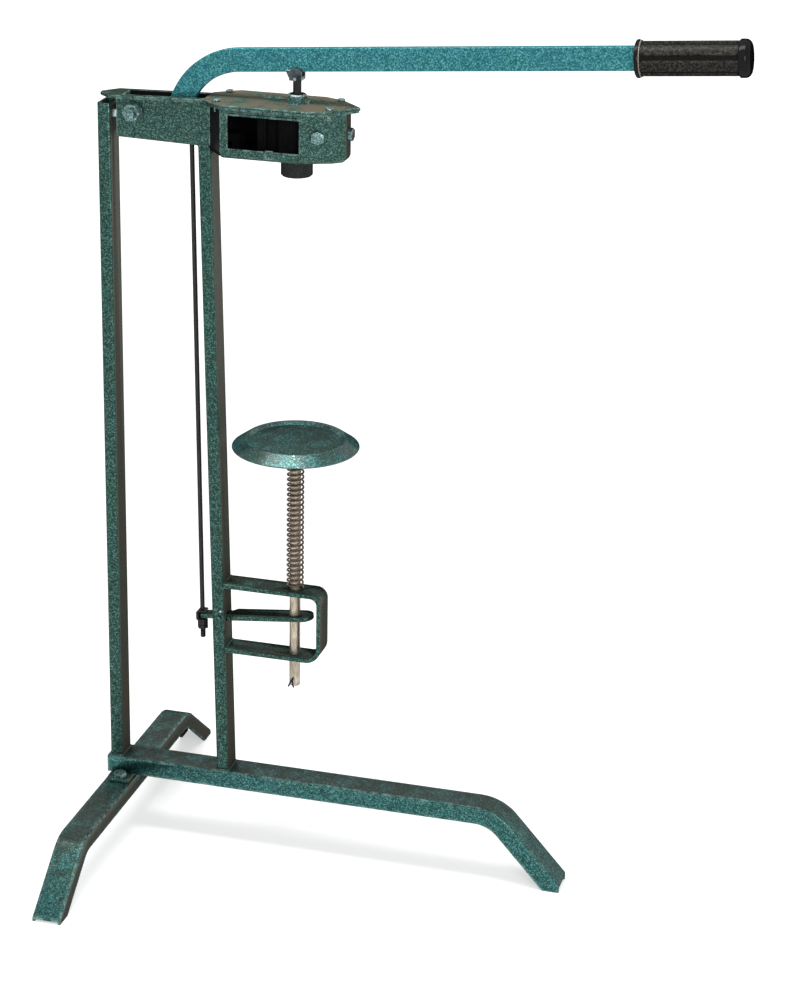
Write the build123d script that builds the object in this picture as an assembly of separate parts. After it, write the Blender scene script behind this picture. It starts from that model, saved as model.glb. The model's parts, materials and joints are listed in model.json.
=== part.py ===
from build123d import *
import os
from math import atan2, cos, degrees, hypot, radians, sin, tan

# Floor corker. X runs forward from the rear post to the front foot, Y across, Z up, in mm.
# The origin is on the floor under the middle of the whole machine.

# Overall layout
rear_end_x = -338.76
axis_x = rear_end_x + 215.5
foot_reach_x = rear_end_x + 524.0
foot_reach_y = 244.0

# Stand: two open-bottomed channels
base_top_z = 90.0
base_width = 35.0
base_height = 20.0
base_bend_x = rear_end_x + 451.0
base_bend_radius = 55.0
front_foot_slope = 47.9
cross_top_z = 65.0
cross_width = 32.0
cross_height = 18.0
cross_bend_y = 168.0
cross_bend_radius = 45.0
channel_wall = 3.0
channel_edge_radius = 2.5
toe_trim = 8.0
base_bolt_x = rear_end_x + 18.5
base_bolt_y = 27.0
base_bolt_size = 8.0
lug_reach = 34.5

# Posts: rectangular tubes
post_x = 14.0
post_y = 28.0
post_wall = 2.0
rear_post_x = rear_end_x + 9.8
rear_post_top = 838.0
front_post_x = rear_end_x + 135.8
front_post_lean = 1.3
hanger_z = 826.5
hanger_nut_thickness = 3.4

# Arm: the channel that carries the lever, with turned-out top flanges
arm_rear_x = rear_end_x + 24.0
arm_front_x = rear_end_x + 126.0
arm_half_width = 13.0
arm_wall = 3.0
arm_edge_radius = 3.0
arm_floor_rear_z = 803.2
arm_floor_front_z = 800.4
flange_rear_x = rear_end_x + 3.0
flange_half_width = 17.0
flange_thickness = 3.0
flange_rear_z = 847.0
flange_front_z = 851.5

# Jaw box: a pressed housing with a faceted nose
box_bottom_z = 794.5
box_rim_z = 846.5
box_wall = 2.5
box_half_width = 32.0
box_side_x = (rear_end_x + 143.0, rear_end_x + 229.0)
box_facet_x = rear_end_x + 260.0
box_facet_y = 18.5
box_nose_x = rear_end_x + 270.5
box_nose_y = 9.0
box_edge_radius = 2.5
box_bottom_radius = 7.0
rim_thickness = 2.0
window_x = (rear_end_x + 151.0, rear_end_x + 227.5)
window_z = (806.0, 840.5)
lid_thickness = 3.0
lid_half_width = 36.5
lid_tip_x = rear_end_x + 284.5
lid_rear_x = rear_end_x + 119.0

# Lever
pivot_x = rear_end_x + 43.0
pivot_z = 831.4
lever_tilt = 4.5
lever_height = 25.0
lever_thickness = 8.0
lever_underside = 39.2
gooseneck_radius = 53.0
gooseneck_turn = 46.5
lever_bar_end = 560.0
grip_start = 526.0
grip_length = 100.0
grip_diameter = 34.5
grip_cap_diameter = 38.0
grip_cap_length = 13.55
pivot_bolt_size = 10.0
hub_diameter = 22.0
toe_radius = 20.0
toe_tip_radius = 3.8

# Travel of the linked mechanism, over the lever's swing
lever_swing = 20.0
toe_lean = lever_swing / 2
jaw_pull = 2 * toe_radius * sin(radians(toe_lean))
side_jaw_travel = 4.5
lock_tilt = 6.2

# Jaws
cork_radius = 8.5
jaw_bottom_z = 801.6
jaw_top_z = 843.6
jaw_flank = 13.3
side_jaw_back = 21.0
end_jaw_back = 27.0
slide_plate_z = (797.3, 801.3)
slide_plate_half_width = 26.0
jaw_pin_size = 5.0
jaw_pin_y = 15.5

# Plunger, its guide and the saddle under the lever
guide_bore = 14.0
guide_outside = 20.0
guide_top_z = 861.0
plunger_diameter = 13.8
plunger_bottom_z = 784.0
plunger_top_z = 860.5
stud_diameter = 8.6
saddle_floor_z = (875.5, 879.5)
saddle_cheek_top = 888.0
saddle_length = 13.0
collar_outside = 33.0
collar_bottom_z = 776.0

# Lock rod and lock plate
rod_size = 5.0
rod_top_x = rear_end_x + 101.5
rod_top_z = 813.8
rod_lean = 0.8
fulcrum_z = 273.0
plate_thickness = 5.0
plate_half_width = 12.0
plate_neck_half_width = 6.5
plate_front_x = rear_end_x + 236.5
clevis_arm = 22.5

# Platform
platform_rod_size = 12.0
platform_rod_bottom = 205.5
strap_top_z = 315.0
strap_bottom_z = 234.5
strap_thickness = 4.5
strap_half_width = 15.0
strap_front_x = rear_end_x + 248.5
dish_radius = 68.5
dish_floor_z = 486.0
dish_sheet = 2.0
spring_outside = 19.5
spring_wire = 2.4
spring_coils = 24
spring_top_z = 457.0
split_pin_z = 208.5


def block(x_range, y_range, z_range):
    """A rectangular block between the given limits."""
    size = [b - a for a, b in (x_range, y_range, z_range)]
    middle = [(a + b) / 2 for a, b in (x_range, y_range, z_range)]
    return Pos(*middle) * Box(*size)


def rod(diameter, x, y, z_range):
    """An upright round rod."""
    low, high = z_range
    return Pos(x, y, (low + high) / 2) * Cylinder(diameter / 2, high - low)


def cross_rod(diameter, x, z, y_range):
    """A round rod that lies across the machine, along Y."""
    low, high = y_range
    return Pos(x, (low + high) / 2, z) * Rot(90, 0, 0) * Cylinder(diameter / 2, high - low)


def hexagon(across_flats, thickness):
    """A hexagonal prism standing on the origin, with lightly chamfered corners."""
    prism = extrude(RegularPolygon(across_flats / 2, 6, major_radius=False), thickness)
    cone_height = thickness + across_flats
    cone = Pos(0, 0, cone_height / 2) * Cone(across_flats / 2 + cone_height, across_flats * 0.01, cone_height)
    trim = Pos(0, 0, thickness - across_flats * 0.58) * cone
    return prism & trim


def hex_bolt(size, shank_length, head_height):
    """A hexagon bolt: head standing on the origin, shank going down."""
    head = hexagon(size * 1.65, head_height)
    shank = Pos(0, 0, -shank_length / 2) * Cylinder(size / 2, shank_length)
    return head + shank


def hex_nut(size, thickness, bore):
    """A hexagon nut standing on the origin."""
    return hexagon(size * 1.65, thickness) - Cylinder(bore / 2, 4 * thickness)


def washer(size, outside, thickness):
    """A flat washer standing on the origin."""
    ring = Pos(0, 0, thickness / 2) * Cylinder(outside / 2, thickness)
    return ring - Cylinder(size / 2, 4 * thickness)


def lowered(points, depth):
    """The same bent line moved to the right of its direction by depth, with mitred corners."""
    turns = [atan2(v1 - v0, u1 - u0) for (u0, v0), (u1, v1) in zip(points, points[1:])]
    moved = []
    for (u, v), before, after in zip(points, turns[:1] + turns, turns + turns[-1:]):
        middle = (before + after) / 2
        reach = depth / cos((after - before) / 2)
        moved.append((u + reach * sin(middle), v - reach * cos(middle)))
    return moved


def strip_outline(points, depth, bend_radius):
    """Side view of a bent bar: its top line, and its underside at the given depth."""
    under = lowered(points, depth)
    top_line = FilletPolyline(*points, radius=bend_radius)
    low_line = FilletPolyline(*under, radius=max(bend_radius - depth, 1.0))
    ends = [Line(points[0], under[0]), Line(points[-1], under[-1])]
    return make_face([*top_line.edges(), *low_line.edges(), *ends])


def bent_channel(points, bend_radius, width, height):
    """A folded channel, open underneath, that follows a bent line in the XZ plane."""
    outside = extrude(Plane.XZ * strip_outline(points, height, bend_radius), width / 2, both=True)
    top_line = Plane.XZ * FilletPolyline(*points, radius=bend_radius)
    folds = outside.edges().filter_by(lambda edge: abs(abs((edge @ 0.5).Y) - width / 2) < 0.01
                                      and top_line.distance_to(spine(edge @ 0.5)) < 0.01)
    outside = fillet(folds, channel_edge_radius)
    roof = lowered(points, channel_wall)
    inside_outline = strip_outline(roof, height * 2, bend_radius - channel_wall)
    inside = extrude(Plane.XZ * inside_outline, width / 2 - channel_wall, both=True)
    return outside - inside


def spine(point):
    """The point moved across onto the middle plane."""
    return Vector(point.X, 0, point.Z)


def make_base_bar():
    """The long foot: a channel that runs forward and turns down to the floor."""
    slope = tan(radians(front_foot_slope))
    past_floor = base_bend_x + (base_top_z + 40) / slope
    line = [(rear_end_x, base_top_z), (base_bend_x, base_top_z), (past_floor, -40)]
    bar = bent_channel(line, base_bend_radius, base_width, base_height)
    room = block((rear_end_x, foot_reach_x), (-base_width, base_width), (0, base_top_z + 1))
    return bar & room


def make_crossbar():
    """The rear feet: one channel across, turned down at both ends."""
    drop = cross_top_z / (foot_reach_y - cross_bend_y + toe_trim)
    past = foot_reach_y + 30
    low = cross_top_z - drop * (past - cross_bend_y)
    line = [(-past, low), (-cross_bend_y, cross_top_z), (cross_bend_y, cross_top_z), (past, low)]
    bar = bent_channel(line, cross_bend_radius, cross_width, cross_height)
    bar = Pos(rear_end_x + cross_width / 2, 0, 0) * Rot(0, 0, 90) * bar
    reach = (-foot_reach_y, foot_reach_y)
    bar = bar & block((rear_end_x - 1, rear_end_x + cross_width + 1), reach, (0, cross_top_z + 1))
    for side in (-1, 1):
        bar -= rod(base_bolt_size + 0.4, base_bolt_x, side * base_bolt_y, (40, 70))
    return bar


def make_base_lug_plate():
    """The plate under the base bar that is bolted down on the crossbar."""
    under = base_top_z - base_height
    x_range = (rear_end_x + 4, rear_end_x + cross_width - 2)
    plate = block(x_range, (-lug_reach, lug_reach), (cross_top_z, under))
    plate = fillet(plate.edges().filter_by(Axis.Z), 9)
    for side in (-1, 1):
        plate -= rod(base_bolt_size + 0.4, base_bolt_x, side * base_bolt_y, (60, 80))
    return plate


def make_base_bolts():
    """Two bolts through the lug plate and the crossbar."""
    bolts = []
    for side in (-1, 1):
        place = Pos(base_bolt_x, side * base_bolt_y, base_top_z - base_height)
        bolts.append(place * hex_bolt(base_bolt_size, 20.0, 5.5))
    return Compound(children=bolts)


def make_base_nuts():
    """The nuts under the crossbar's web."""
    nuts = []
    height = 6.5
    for side in (-1, 1):
        low = cross_top_z - channel_wall - height
        place = Pos(base_bolt_x, side * base_bolt_y, low)
        nuts.append(place * hex_nut(base_bolt_size, height, base_bolt_size))
    return Compound(children=nuts)


def tube(x_mid, z_range):
    """An upright rectangular tube, centred on Y = 0."""
    outside = block((x_mid - post_x / 2, x_mid + post_x / 2), (-post_y / 2, post_y / 2), z_range)
    outside = fillet(outside.edges().filter_by(Axis.Z), 2.5)
    inner = (post_x / 2 - post_wall, post_y / 2 - post_wall)
    inside = block((x_mid - inner[0], x_mid + inner[0]), (-inner[1], inner[1]), z_range)
    return outside - inside


def make_rear_post():
    """The rear post, with the hole for its hanger bolt in the front wall near the top."""
    post = tube(rear_post_x, (base_top_z, rear_post_top))
    hole = Rot(0, 90, 0) * Cylinder(4.2, 6)
    return post - Pos(rear_post_x + post_x / 2, 0, hanger_z) * hole


def arm_prism(half_width, lift=0.0, rear=arm_rear_x, front=arm_front_x + 6):
    """The solid form of the arm's channel below its flanges."""
    slope = (arm_floor_front_z - arm_floor_rear_z) / (arm_front_x - arm_rear_x)
    low_rear = arm_floor_rear_z + slope * (rear - arm_rear_x) + lift
    low_front = arm_floor_rear_z + slope * (front - arm_rear_x) + lift
    top_rear, top_front = flange_z(rear) - 1, flange_z(front) - 1
    outline = Polyline((rear, low_rear), (front, low_front), (front, top_front), (rear, top_rear), close=True)
    return extrude(Plane.XZ * make_face(outline), half_width, both=True)


def flange_z(x):
    """Height of the flange's upper face, which rises towards the jaw box."""
    share = (x - rear_end_x) / (box_side_x[0] - rear_end_x)
    return flange_rear_z + (flange_front_z - flange_rear_z) * min(share, 1.0)


def make_front_post():
    """The front post, leaning back a little, welded under the arm and slotted for the lock plate."""
    post = tube(0, (-20, 760))
    post = Pos(front_post_x, 0, base_top_z) * Rot(0, -front_post_lean, 0) * post
    high = block((rear_end_x, 0), (-40, 40), (base_top_z, 815))
    post = (post & high) - arm_prism(arm_half_width + 5, rear=arm_rear_x - 1)
    post -= block((arm_front_x - 0.2, axis_x), (-40, 40), (box_bottom_z - 0.1, 900))
    post -= cross_rod(4.1, fulcrum_x(), fulcrum_z, (-40, 40))
    x_slot = (fulcrum_x() - 20, fulcrum_x() + 20)
    half = plate_neck_half_width + 0.6
    return post - block(x_slot, (-half, half), (fulcrum_z - 5.2, fulcrum_z + 5.2))


def fulcrum_x():
    """The front post's centre line at the lock plate."""
    return front_post_x - (fulcrum_z - base_top_z) * tan(radians(front_post_lean))


def box_plan(inset=0.0):
    """Plan of the jaw box: arm end, straight sides, two facets and a flat nose."""
    side = [(arm_front_x, -arm_half_width), (box_side_x[0], -box_half_width),
            (box_side_x[1], -box_half_width), (box_facet_x, -box_facet_y), (box_nose_x, -box_nose_y)]
    plan = make_face(Polyline(*side, *[(x, -y) for x, y in reversed(side)], close=True))
    return offset(plan, -inset, kind=Kind.INTERSECTION) if inset else plan


def lid_plan(inset=0.0, rear=lid_rear_x):
    """Plan of the lid and of the rim it lies on."""
    half, tip = lid_half_width - inset, lid_tip_x - 1.4 * inset
    points = [(rear, -flange_half_width + inset), (box_side_x[0] + 1, -half), (rear_end_x + 236, -half),
              (rear_end_x + 257, -28 + inset), (tip, 0), (rear_end_x + 257, 28 - inset),
              (rear_end_x + 236, half), (box_side_x[0] + 1, half), (rear, flange_half_width - inset)]
    face = make_face(Polyline(*points, close=True))
    return fillet(face.vertices().filter_by(lambda v: v.X > rear + 1), 5)


def make_head_housing():
    """Arm channel and jaw box in one welded pressing, open on the near side."""
    shell = arm_prism(arm_half_width)
    folds = shell.edges().filter_by(lambda edge: abs((edge @ 0.5).Y) > arm_half_width - 0.01
                                    and (edge @ 0.5).Z < arm_floor_rear_z + 1)
    shell = fillet(folds, arm_edge_radius)
    trough = arm_half_width - arm_wall
    shell -= arm_prism(trough, arm_wall, arm_rear_x + arm_wall, arm_front_x + 20)
    shell -= block((arm_rear_x + arm_wall, arm_front_x + 20), (-trough, trough), (840, 870))
    shell += flange_sheet()
    outer = Pos(0, 0, box_bottom_z) * extrude(box_plan(), box_rim_z - box_bottom_z)
    corners = outer.edges().filter_by(Axis.Z).filter_by(lambda edge: edge.center().X > box_side_x[1] - 1)
    outer = fillet(corners, box_edge_radius)
    outer = fillet(outer.faces().sort_by(Axis.Z)[0].edges().filter_by(
        lambda e: e.center().X > arm_front_x + 1), box_bottom_radius)
    inner = Pos(0, 0, box_bottom_z + box_wall) * extrude(box_plan(box_wall), box_rim_z)
    rim = Pos(0, 0, box_rim_z) * extrude(lid_plan(1.0, lid_rear_x - 3), rim_thickness)
    opening = block((arm_rear_x + 40, arm_front_x + 20), (-10, 10), (arm_floor_rear_z + arm_wall, 860))
    shell = shell + outer + rim - inner - (opening & arm_prism(10, arm_wall, front=arm_front_x + 20))
    shell -= block((arm_front_x - 20, arm_front_x + 20), (-10, 10), (806, 860))
    shell -= block((lid_rear_x, arm_front_x + 20), (-40, 40), (box_rim_z + rim_thickness, 870))
    shell -= block(window_x, (-60, -box_half_width + 6), window_z)
    bead = block((window_x[0] - 2, window_x[1] + 2), (-box_half_width - 1.5, -box_half_width + 1),
                 (window_z[1], window_z[1] + 2.5))
    lug = block((rear_end_x + 192, rear_end_x + 200), (-box_half_width - 1.2, -box_half_width + 1),
                (box_bottom_z + 4, window_z[0] + 1.5))
    shell = shell + fillet(bead.edges().filter_by(Axis.X), 0.6) + lug
    shell -= rod(collar_outside - 6, axis_x, 0, (780, 800))
    shell -= rod(rod_size + 2.6, rod_top_x, 0, (795, 812))
    shell -= cross_rod(pivot_bolt_size, pivot_x, pivot_z, (-20, 20))
    for x, y in lid_screw_places():
        shell -= rod(5.0, x, y, (box_rim_z - 5, box_rim_z + 10))
    for place in facet_bolt_places():
        shell -= place * Cylinder(3.75, 40)
    hole = Rot(0, 90, 0) * Cylinder(4.2, 20)
    return shell - Pos(arm_rear_x, 0, hanger_z) * hole


def flange_sheet():
    """The turned-out flanges, joined in a blunt point over the rear post."""
    rear, front = flange_rear_x, lid_rear_x
    low = -flange_thickness
    side = Polyline((rear, flange_z(rear) + low), (front, flange_z(front) + low),
                    (front, flange_z(front)), (rear, flange_z(rear)), close=True)
    sheet = extrude(Plane.XZ * make_face(side), flange_half_width, both=True)
    half = flange_half_width
    plan = Polyline((rear, -3), (rear + 14, -half), (front, -half), (front, half), (rear + 14, half),
                    (rear, 3), close=True)
    sheet &= extrude(make_face(plan), 1000)
    return sheet - block((rear_end_x + 31, arm_front_x + 20), (-10, 10), (830, 870))


def make_lid():
    """The lid: a flat plate with a raised rib, bored for the plunger guide."""
    low = box_rim_z + rim_thickness
    lid = Pos(0, 0, low) * extrude(lid_plan(), lid_thickness)
    lid = chamfer(lid.faces().sort_by(Axis.Z)[-1].edges(), 0.8)
    rib = block((axis_x - 41, axis_x - 17), (12, 17), (low + 1, low + lid_thickness + 2))
    rib = fillet(rib.edges().group_by(Axis.Z)[-1], 1.5)
    lid = lid + rib - rod(guide_outside - 2, axis_x, 0, (low - 1, low + 8))
    for x, y in lid_screw_places():
        lid -= rod(5.0, x, y, (low - 1, low + 8))
    return lid


def lid_screw_places():
    """Where the lid is screwed down on the rim."""
    rear, front = rear_end_x + 136, rear_end_x + 256
    return [(rear, -21.5), (rear, 21.5), (front, -21.5), (front, 21.5)]


def make_lid_screws():
    """Four cheese-head screws."""
    top = box_rim_z + rim_thickness + lid_thickness
    screws = []
    for x, y in lid_screw_places():
        head = Pos(x, y, top + 1.4) * Cylinder(4.0, 2.8)
        head = chamfer(head.edges().sort_by(Axis.Z)[-1], 0.8)
        head -= block((x - 5, x + 5), (y - 0.6, y + 0.6), (top + 1.6, top + 4))
        screws.append(head + rod(5.0, x, y, (top - 6, top)))
    return Compound(children=screws)


def facet_bolt_places():
    """Where the bolts sit on the two facets and on the nose, each pointing outwards."""
    turn = degrees(atan2(box_half_width - box_facet_y, box_facet_x - box_side_x[1]))
    middle_x = (box_side_x[1] + box_facet_x) / 2
    middle_y = (box_half_width + box_facet_y) / 2
    height = 823.5
    places = [Pos(box_nose_x, 0, height) * Rot(0, 90, 0)]
    for side in (-1, 1):
        places.append(Pos(middle_x, side * middle_y, height) * Rot(0, 0, side * (90 - turn)) * Rot(0, 90, 0))
    return places


def make_facet_bolts():
    """Hexagon bolts in the two facets and in the nose, which locate the jaw guides."""
    return Compound(children=[place * hex_bolt(7.5, box_wall + 3, 5.0) for place in facet_bolt_places()])


def make_outlet_collar():
    """The collar under the box that the neck is pushed up into."""
    outside = rod(collar_outside, axis_x, 0, (collar_bottom_z, box_bottom_z))
    outside = chamfer(outside.edges().sort_by(Axis.Z)[0], 1.5)
    spigot = rod(collar_outside - 6, axis_x, 0, (box_bottom_z, slide_plate_z[0] - 0.3))
    mouth = Pos(axis_x, 0, collar_bottom_z + 6.5) * Cone(14.8, 13.2, 13.0)
    return outside + spigot - mouth - rod(19.0, axis_x, 0, (770, 800))


def make_mouth_seal():
    """The rubber ring in the collar that the mouth of the neck seats on."""
    low, high = collar_bottom_z + 13.0 - 3.2, collar_bottom_z + 13.0
    ring = rod(26.4, axis_x, 0, (low, high)) - rod(19.0, axis_x, 0, (low - 1, high + 1))
    return ring


def make_hanger_bolt():
    """The bolt that ties the arm's end wall to the rear post: its head is inside the tube."""
    start = rear_post_x + post_x / 2 - post_wall
    length = arm_rear_x + arm_wall + hanger_nut_thickness + 0.4 - start
    place = Pos(start, 0, hanger_z) * Rot(0, -90, 0)
    return place * hex_bolt(8.0, length, 5.3)


def make_hanger_nuts():
    """A nut in the gap between post and arm, and one inside the arm."""
    gap = arm_rear_x - (rear_post_x + post_x / 2)
    outer = Pos(rear_post_x + post_x / 2, 0, hanger_z) * Rot(0, 90, 0) * hex_nut(8.0, gap, 8.0)
    inner = Pos(arm_rear_x + arm_wall, 0, hanger_z) * Rot(0, 90, 0) * hex_nut(8.0, hanger_nut_thickness, 8.0)
    return Compound(children=[outer, inner])


def along_lever(u, v):
    """From the lever's own directions, along and above its pivot, to X and Z at rest."""
    turn = radians(lever_tilt)
    return (pivot_x + u * cos(turn) - v * sin(turn), pivot_z + u * sin(turn) + v * cos(turn))


def make_lever_bar():
    """Flat bar with a gooseneck, a hub at the pivot and a toe that works the slide."""
    bar_v = lever_underside + lever_height / 2
    neck = radians(gooseneck_turn)
    knee = (24.0, 3.0)
    corner_u = knee[0] + (bar_v - knee[1]) / tan(neck)
    centre = FilletPolyline(along_lever(0, 0), along_lever(*knee), along_lever(corner_u, bar_v),
                            along_lever(lever_bar_end, bar_v), radius=(14, gooseneck_radius))
    path = Plane.XZ * centre
    start = Plane(origin=path @ 0, x_dir=(0, 1, 0), z_dir=path % 0)
    lever = sweep(start * Rectangle(lever_thickness, lever_height), path=path)
    lever += cross_rod(hub_diameter, pivot_x, pivot_z, (-lever_thickness / 2, lever_thickness / 2))
    lever += lever_toe()
    return lever - cross_rod(pivot_bolt_size + 4, pivot_x, pivot_z, (-9, 9))


def toe_centre():
    """Centre of the lever's toe with the lever down."""
    lean = radians(toe_lean)
    return (pivot_x - toe_radius * sin(lean), pivot_z - toe_radius * cos(lean))


def lever_toe():
    """The finger under the hub that pushes and pulls the slide."""
    x, z = toe_centre()
    half = lever_thickness / 2
    finger = cross_rod(2 * toe_tip_radius, x, z, (-half, half))
    neck = block((-3.0, 3.0), (-half, half), (-toe_radius, 0))
    return finger + Pos(pivot_x, 0, pivot_z) * Rot(0, toe_lean, 0) * neck


def make_lever_bush():
    """The bronze bush pressed in the lever's hub."""
    reach = arm_half_width - arm_wall - 1.6
    bush = cross_rod(pivot_bolt_size + 4, pivot_x, pivot_z, (-reach, reach))
    return bush - cross_rod(pivot_bolt_size + 0.06, pivot_x, pivot_z, (-20, 20))


def make_pivot_bolt():
    """The bolt the lever swings on: head on the far side."""
    place = Pos(pivot_x, arm_half_width + 1.5, pivot_z) * Rot(-90, 0, 0)
    return place * hex_bolt(pivot_bolt_size, 2 * arm_half_width + 3 + 13, 6.4)


def make_pivot_nut():
    """The nut on the near end of the pivot bolt."""
    place = Pos(pivot_x, -arm_half_width - 1.5, pivot_z) * Rot(90, 0, 0)
    return place * hex_nut(pivot_bolt_size, 8.0, pivot_bolt_size)


def make_pivot_washers():
    """A washer under the pivot bolt's head and one under its nut."""
    far = Pos(pivot_x, arm_half_width, pivot_z) * Rot(-90, 0, 0) * washer(pivot_bolt_size, 20.0, 1.5)
    near = Pos(pivot_x, -arm_half_width, pivot_z) * Rot(90, 0, 0) * washer(pivot_bolt_size, 20.0, 1.5)
    return Compound(children=[far, near])


def grip_place():
    """The grip's own frame: Z along the lever, starting where the grip starts."""
    x, z = along_lever(grip_start, lever_underside + lever_height / 2)
    return Pos(x, 0, z) * Rot(0, 90 - lever_tilt, 0)


def make_grip_sleeve():
    """The fluted rubber grip, with a collar at its inner end."""
    body = Pos(0, 0, grip_length / 2) * Cylinder(grip_diameter / 2, grip_length)
    grooves = 6
    for i in range(grooves):
        around = Rot(0, 0, (i + 0.5) * 360 / grooves)
        body -= around * Pos(grip_diameter / 2 + 1.2, 0, grip_length / 2) * Cylinder(3.4, grip_length)
    collar = Pos(0, 0, 2.8) * Cylinder(grip_cap_diameter / 2, 5.6)
    collar = chamfer(collar.edges().filter_by(GeomType.CIRCLE), 1.2)
    bar = Box(lever_height, lever_thickness, 2 * (lever_bar_end - grip_start))
    return grip_place() * (body + collar - bar)


def make_grip_cap():
    """The domed end of the grip."""
    cap = Pos(0, 0, grip_cap_length / 2) * Cylinder(grip_cap_diameter / 2, grip_cap_length)
    cap = fillet(cap.edges().filter_by(GeomType.CIRCLE).sort_by(Axis.Z)[-1], 6.5)
    cap = chamfer(cap.edges().filter_by(GeomType.CIRCLE).sort_by(Axis.Z)[0], 1.2)
    return grip_place() * Pos(0, 0, grip_length) * cap


def make_jaw_slide():
    """The slide: notch for the toe, strap, ear with the lock slot, and the plate under the jaws."""
    strap_y, strap_z = (-8.5, -3.5), (807.6, 816.0)
    toe_x = toe_centre()[0]
    notch_block = block((toe_x - 9, toe_x + 10), (-8.5, 8.5), strap_z)
    notch = block((toe_x - toe_tip_radius - 0.1, toe_x + toe_tip_radius + 0.1), (-4.5, 4.5), (800, 830))
    strap = block((toe_x + 5, rear_end_x + 156), strap_y, strap_z)
    ear = block((rod_top_x - 16, rod_top_x + 9), strap_y, (strap_z[0], 823.0))
    riser = block((rear_end_x + 148, rear_end_x + 156), (-8.5, 8.5), (slide_plate_z[0], strap_z[1]))
    half = slide_plate_half_width
    plate = block((rear_end_x + 148, axis_x + 12), (-half, half), slide_plate_z)
    plate = fillet(plate.edges().filter_by(Axis.Z), 6)
    plate += block((axis_x, axis_x + end_jaw_back), (-jaw_flank, jaw_flank), slide_plate_z)
    slide = notch_block - notch + strap + fillet(ear.edges().filter_by(Axis.Y).group_by(Axis.Z)[-1], 4)
    slide = slide + riser + plate - lock_slot()
    slide -= rod(2 * cork_radius + 4, axis_x, 0, (790, 805))
    for side in (-1, 1):
        slide -= jaw_pin_slot(side)
    return slide


def lock_slot():
    """The inclined slot that lifts and lowers the lock rod."""
    rise = lock_travel()
    ends = [(rod_top_x, rod_top_z), (rod_top_x - jaw_pull, rod_top_z + rise)]
    return slot_prism(Plane.XZ, ends, rod_size / 2 + 0.1, 12)


def lock_travel():
    """How far the lock rod moves as the lock plate tilts."""
    return clevis_arm * sin(radians(lock_tilt))


def slot_prism(plane, ends, radius, depth):
    """A round-ended slot through a plate."""
    (u0, v0), (u1, v1) = ends
    length, angle = hypot(u1 - u0, v1 - v0), degrees(atan2(v1 - v0, u1 - u0))
    shape = Pos((u0 + u1) / 2, (v0 + v1) / 2) * Rot(0, 0, angle) * SlotCenterToCenter(length, 2 * radius)
    return extrude(plane * shape, depth, both=True)


def jaw_pin_slot(side):
    """The slanted slot that drives a side jaw in or out."""
    ends = [(axis_x, side * jaw_pin_y), (axis_x - jaw_pull, side * (jaw_pin_y + side_jaw_travel))]
    return slot_prism(Plane.XY.offset(slide_plate_z[0]), ends, jaw_pin_size / 2 + 0.1, 8)


def jaw(back, width):
    """One jaw pointing along +X: a quarter groove, flanks at 45 degrees and a square back."""
    tip = cork_radius * cos(radians(45))
    flank = min(jaw_flank, width)
    outline = Polyline((tip, tip), (flank, flank), (back, flank),
                       (back, -flank), (flank, -flank), (tip, -tip))
    groove = ThreePointArc((tip, -tip), (cork_radius, 0), (tip, tip))
    body = extrude(make_face([*outline.edges(), *groove.edges()]), jaw_top_z - jaw_bottom_z)
    top_edge = body.faces().sort_by(Axis.Z)[-1].edges().filter_by(GeomType.CIRCLE)
    return Pos(axis_x, 0, jaw_bottom_z) * chamfer(top_edge, 1.5)


def shrunk(body, clearance):
    """The jaw moved back by the running clearance at its flanks."""
    return Pos(clearance, 0, 0) * body


def turned(body, angle):
    """A jaw turned about the cork's axis."""
    return Pos(axis_x, 0, 0) * Rot(0, 0, angle) * Pos(-axis_x, 0, 0) * body


def make_front_jaw():
    """The jaw that the slide carries, screwed down on its plate."""
    foot = block((axis_x + 12, axis_x + end_jaw_back), (-10, 10), (slide_plate_z[1], jaw_bottom_z + 1))
    return shrunk(jaw(end_jaw_back - 0.1, jaw_flank), 0.1) + foot


def make_rear_jaw():
    """The fixed jaw."""
    return turned(shrunk(jaw(end_jaw_back, jaw_flank), 0.1), 180)


def make_rear_jaw_block():
    """The block that backs the fixed jaw, held by the lid and the far wall."""
    back = axis_x - end_jaw_back - 0.1
    y_range = (-20, box_half_width - box_wall)
    return block((back - 9, back), y_range, (jaw_bottom_z, box_rim_z + rim_thickness))


def make_side_jaw(side):
    """A jaw that moves across, with the pin that its slot drives."""
    body = turned(shrunk(jaw(side_jaw_back, jaw_flank), 0.1), side * 90)
    return body + rod(jaw_pin_size, axis_x, side * jaw_pin_y, (slide_plate_z[0] + 0.2, jaw_bottom_z + 1))


def make_jaw_keeper():
    """The keeper under the lid that holds the jaws down, slotted to clear the cork."""
    z_range = (jaw_top_z + 0.4, box_rim_z + rim_thickness)
    keeper = block((axis_x - 26, axis_x + 34), (-22, 22), z_range)
    keeper = chamfer(keeper.edges().filter_by(Axis.Z).group_by(Axis.X)[-1], 8)
    slot = slot_prism(Plane.XY, [(axis_x, 0), (axis_x + jaw_pull, 0)], cork_radius + 4.5, 900)
    return keeper - slot - rod(guide_outside + 8, axis_x, 0, (840, 850))


def make_plunger_guide():
    """The flanged guide in the lid that the plunger slides in."""
    lid_top = box_rim_z + rim_thickness + lid_thickness
    upper = rod(guide_outside, axis_x, 0, (lid_top, guide_top_z))
    upper = chamfer(upper.edges().sort_by(Axis.Z)[-1], 1.2)
    lower = rod(guide_outside - 2, axis_x, 0, (jaw_top_z + 0.6, lid_top))
    ear = block((axis_x, axis_x + 15), (-3.5, 3.5), (lid_top, lid_top + 4.5))
    ear = fillet(ear.edges().filter_by(Axis.Z).group_by(Axis.X)[-1], 3.4)
    bore = rod(guide_bore, axis_x, 0, (830, 870))
    return upper + lower + ear - bore


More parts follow.
